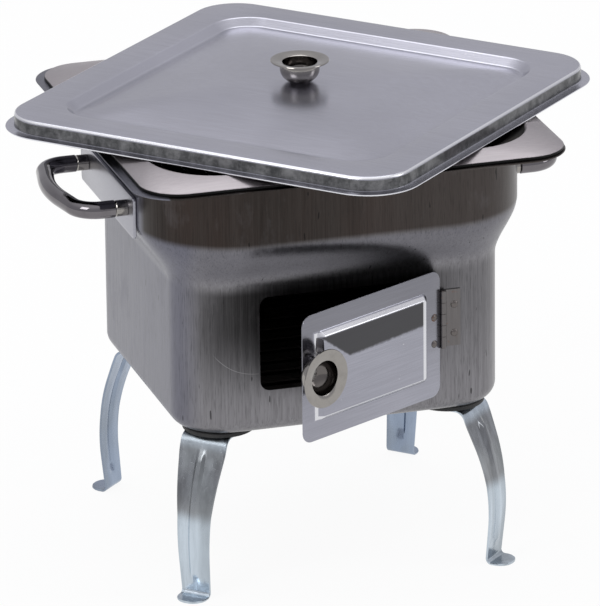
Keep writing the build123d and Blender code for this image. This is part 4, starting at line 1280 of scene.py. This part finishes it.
# %% Rivets of the hinge
RIVET_DOME = [(0.01, 1.2), (0.9, 1.15), (1.8, 0.95), (2.6, 0.55), (3.0, 0.1), (3.0, 0.0), (1.6, 0.0)]
TUB_RIVET = RIVET_DOME + [(1.6, -2.0), (3.0, -2.0), (2.7, -2.9), (0.01, -3.2)]
DOOR_RIVET = RIVET_DOME + [(1.6, -2.0), (0.01, -2.0)]
on_tub = [(85.6, -131.5, 208.0 + offset) for offset in (-11.6, 11.6)]
on_door = [door_place @ Vector((-9.2, 201.6 + offset, DOOR_FACE)) for offset in (-10.75, 10.75)]
door_angles = (90, 0, math.degrees(DOOR_TURN))
for body, section, points, turn, node in (
    ("tub", TUB_RIVET, on_tub, (90, 0, 0), "hinge_rivets_body"),
    ("door", DOOR_RIVET, on_door, door_angles, "hinge_rivets_door"),
):
    rivet = spun(section, count=32)
    repeated(f"rivets_of_{body}", rivet, points, turn, RIVET_STEEL, body, [node])

# %% [markdown]
# A bolt goes down through the tub's floor, a black disc and the leg's top, into a nut. The disc keeps the
# hot floor off the leg. A nut is the same kind of spun section, but with six points a ring.

# %% Discs, bolts and nuts of the legs
DISC = [(3.2, 0), (27.7, 0), (28.5, 0.8), (28.5, 3.2), (27.7, 4.0), (3.2, 4.0)]
BOLT_HEAD = [(0.01, 4.2), (2.2, 4.1), (4.2, 3.5), (5.3, 2.4), (5.5, 1.2), (5.5, 1.0)]
BOLT = BOLT_HEAD + [(3.0, 1.0), (3.0, -12.4), (2.6, -12.8), (0.01, -12.8)]
NUT = [(3.0, 0), (4.6, 0), (5.7, -0.7), (5.7, -4.3), (4.6, -5.0), (3.0, -5.0)]
disc_nodes = [f"leg_pad_{name}" for name in CORNER_NAMES]
for name, part, height, finish, slot, nodes, crease in (
    ("discs", spun(DISC, count=64), PAD_LOW, PAD_BLACK, "black_pad", disc_nodes, 32),
    ("bolts", spun(BOLT, count=32), TUB_FLOOR, FASTENER_ZINC, "zinc_fasteners", ["leg_bolts"], 32),
    ("nuts", spun(NUT, count=6), PAD_LOW - STRIP, FASTENER_ZINC, "zinc_fasteners", ["leg_nuts"], 20),
):
    seats = [(x * SEAT, y * SEAT, height) for x, y in CORNER_SIDES]
    repeated(name, part, seats, (0, 0, 0), finish, "tub", nodes, crease)

# %% [markdown]
# What is already right in the construction stays as it is: the slotted charcoal grate, the hinge's leaves
# and pin, and the screws and nut of the knobs. They only get their finish.

# %% Finish the parts that stay
kept_finishes = {
    "charcoal_grate": GRATE_STEEL,
    "hinge_leaf_body": HINGE_STEEL,
    "hinge_leaf_door": HINGE_STEEL,
    "hinge_pin": RIVET_STEEL,
    "door_knob_screw": SCREW_STEEL,
    "lid_knob_screw": SCREW_STEEL,
    "lid_knob_nut": FASTENER_ZINC,
}
for name, material in kept_finishes.items():
    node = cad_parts[name]
    node.data.materials.clear()
    node.data.materials.append(material)
print("kept nodes:", len(kept_finishes))

# %% [markdown]
# Metal shows its surroundings, so the surroundings are part of its finish. The floor is pale, and the
# camera and the reflections see it nearly white, while it still takes the object's shadow. Above it, the
# world runs from mid grey near the horizon to white overhead, as in a tented studio, and the big soft lamps
# draw the long highlights on tubes and rolled edges.

# %% Floor
FLOOR_COLOUR = (0.78, 0.78, 0.79, 1)
FLOOR_REACH = 12.0
WHITE_SHARE = 0.93
floor_mesh = bpy.data.meshes.new("floor")
floor_corners = [(x * FLOOR_REACH, y * FLOOR_REACH, 0) for x, y in CORNER_SIDES]
floor_mesh.from_pydata(floor_corners, [], [(0, 1, 2, 3)])
floor = placed("floor", floor_mesh)
floor_paint = bpy.data.materials.new("floor_paint")
floor_paint.use_nodes = True
graph = Graph(floor_paint.node_tree)
rays = ("Is Camera Ray", "Is Glossy Ray", "Is Transmission Ray")
camera_ray, glossy_ray, clear_ray = [graph.node("ShaderNodeLightPath", {}, {}, ray) for ray in rays]
seen_white = (camera_ray + (glossy_ray + clear_ray)) * WHITE_SHARE
paper = graph.node("ShaderNodeBsdfDiffuse", {}, {"Color": FLOOR_COLOUR})
white = graph.node("ShaderNodeEmission", {}, {})
blend = graph.node("ShaderNodeMixShader", {}, {0: seen_white, 1: paper, 2: white})
graph.node("ShaderNodeOutputMaterial", {}, {"Surface": blend})
floor_mesh.materials.append(floor_paint)

# %% [markdown]
# The world's colour follows the direction's height, through a ramp. The lower half is never seen, because
# the floor is in front of it, so the ramp's left end is the horizon.

# %% World
world = bpy.data.worlds.new("studio")
bpy.context.scene.world = world
world.use_nodes = True
graph = Graph(world.node_tree)
direction = graph.node("ShaderNodeTexCoord", {}, {}, "Generated")
height = graph.node("ShaderNodeSeparateXYZ", {}, {0: direction}, "Z")
ramp = graph.node("ShaderNodeValToRGB", {}, {0: height})
stops = ramp.socket.node.color_ramp.elements
stops[0].position, stops[0].color = 0.0, (0.60, 0.60, 0.63, 1)
stops[1].position, stops[1].color = 0.85, (1.0, 1.0, 1.02, 1)
stops.new(0.45).color = (0.64, 0.64, 0.67, 1)
sky = graph.node("ShaderNodeBackground", {}, {"Color": ramp})
graph.node("ShaderNodeOutputWorld", {}, {"Surface": sky})
print("ramp stops:", len(stops))

# %% [markdown]
# Three soft lamps are enough: a key lamp at the left in front, a narrower one at the right, and a wide one
# overhead and behind, which lights the lid's far border. Their power is low, so that a colour shows about
# as it is written.

# %% Lamps
AIM = Vector((0, 0, 0.2))


def lamp(name, place, size, power):
    """A soft lamp of a width and height, which faces the object."""
    light = bpy.data.lights.new(name, "AREA")
    light.shape = "RECTANGLE"
    light.size, light.size_y = size
    light.energy = power
    made = placed(name, light)
    made.location = place
    made.rotation_euler = (AIM - Vector(place)).to_track_quat("-Z", "Y").to_euler()


lamp("key", (-2.6, -1.6, 2.6), (1.6, 1.6), 38)
lamp("side", (2.8, -1.4, 1.6), (1.0, 1.8), 14)
lamp("top", (0.2, 1.2, 3.0), (2.4, 1.4), 20)
print("lamps:", len(bpy.data.lights))
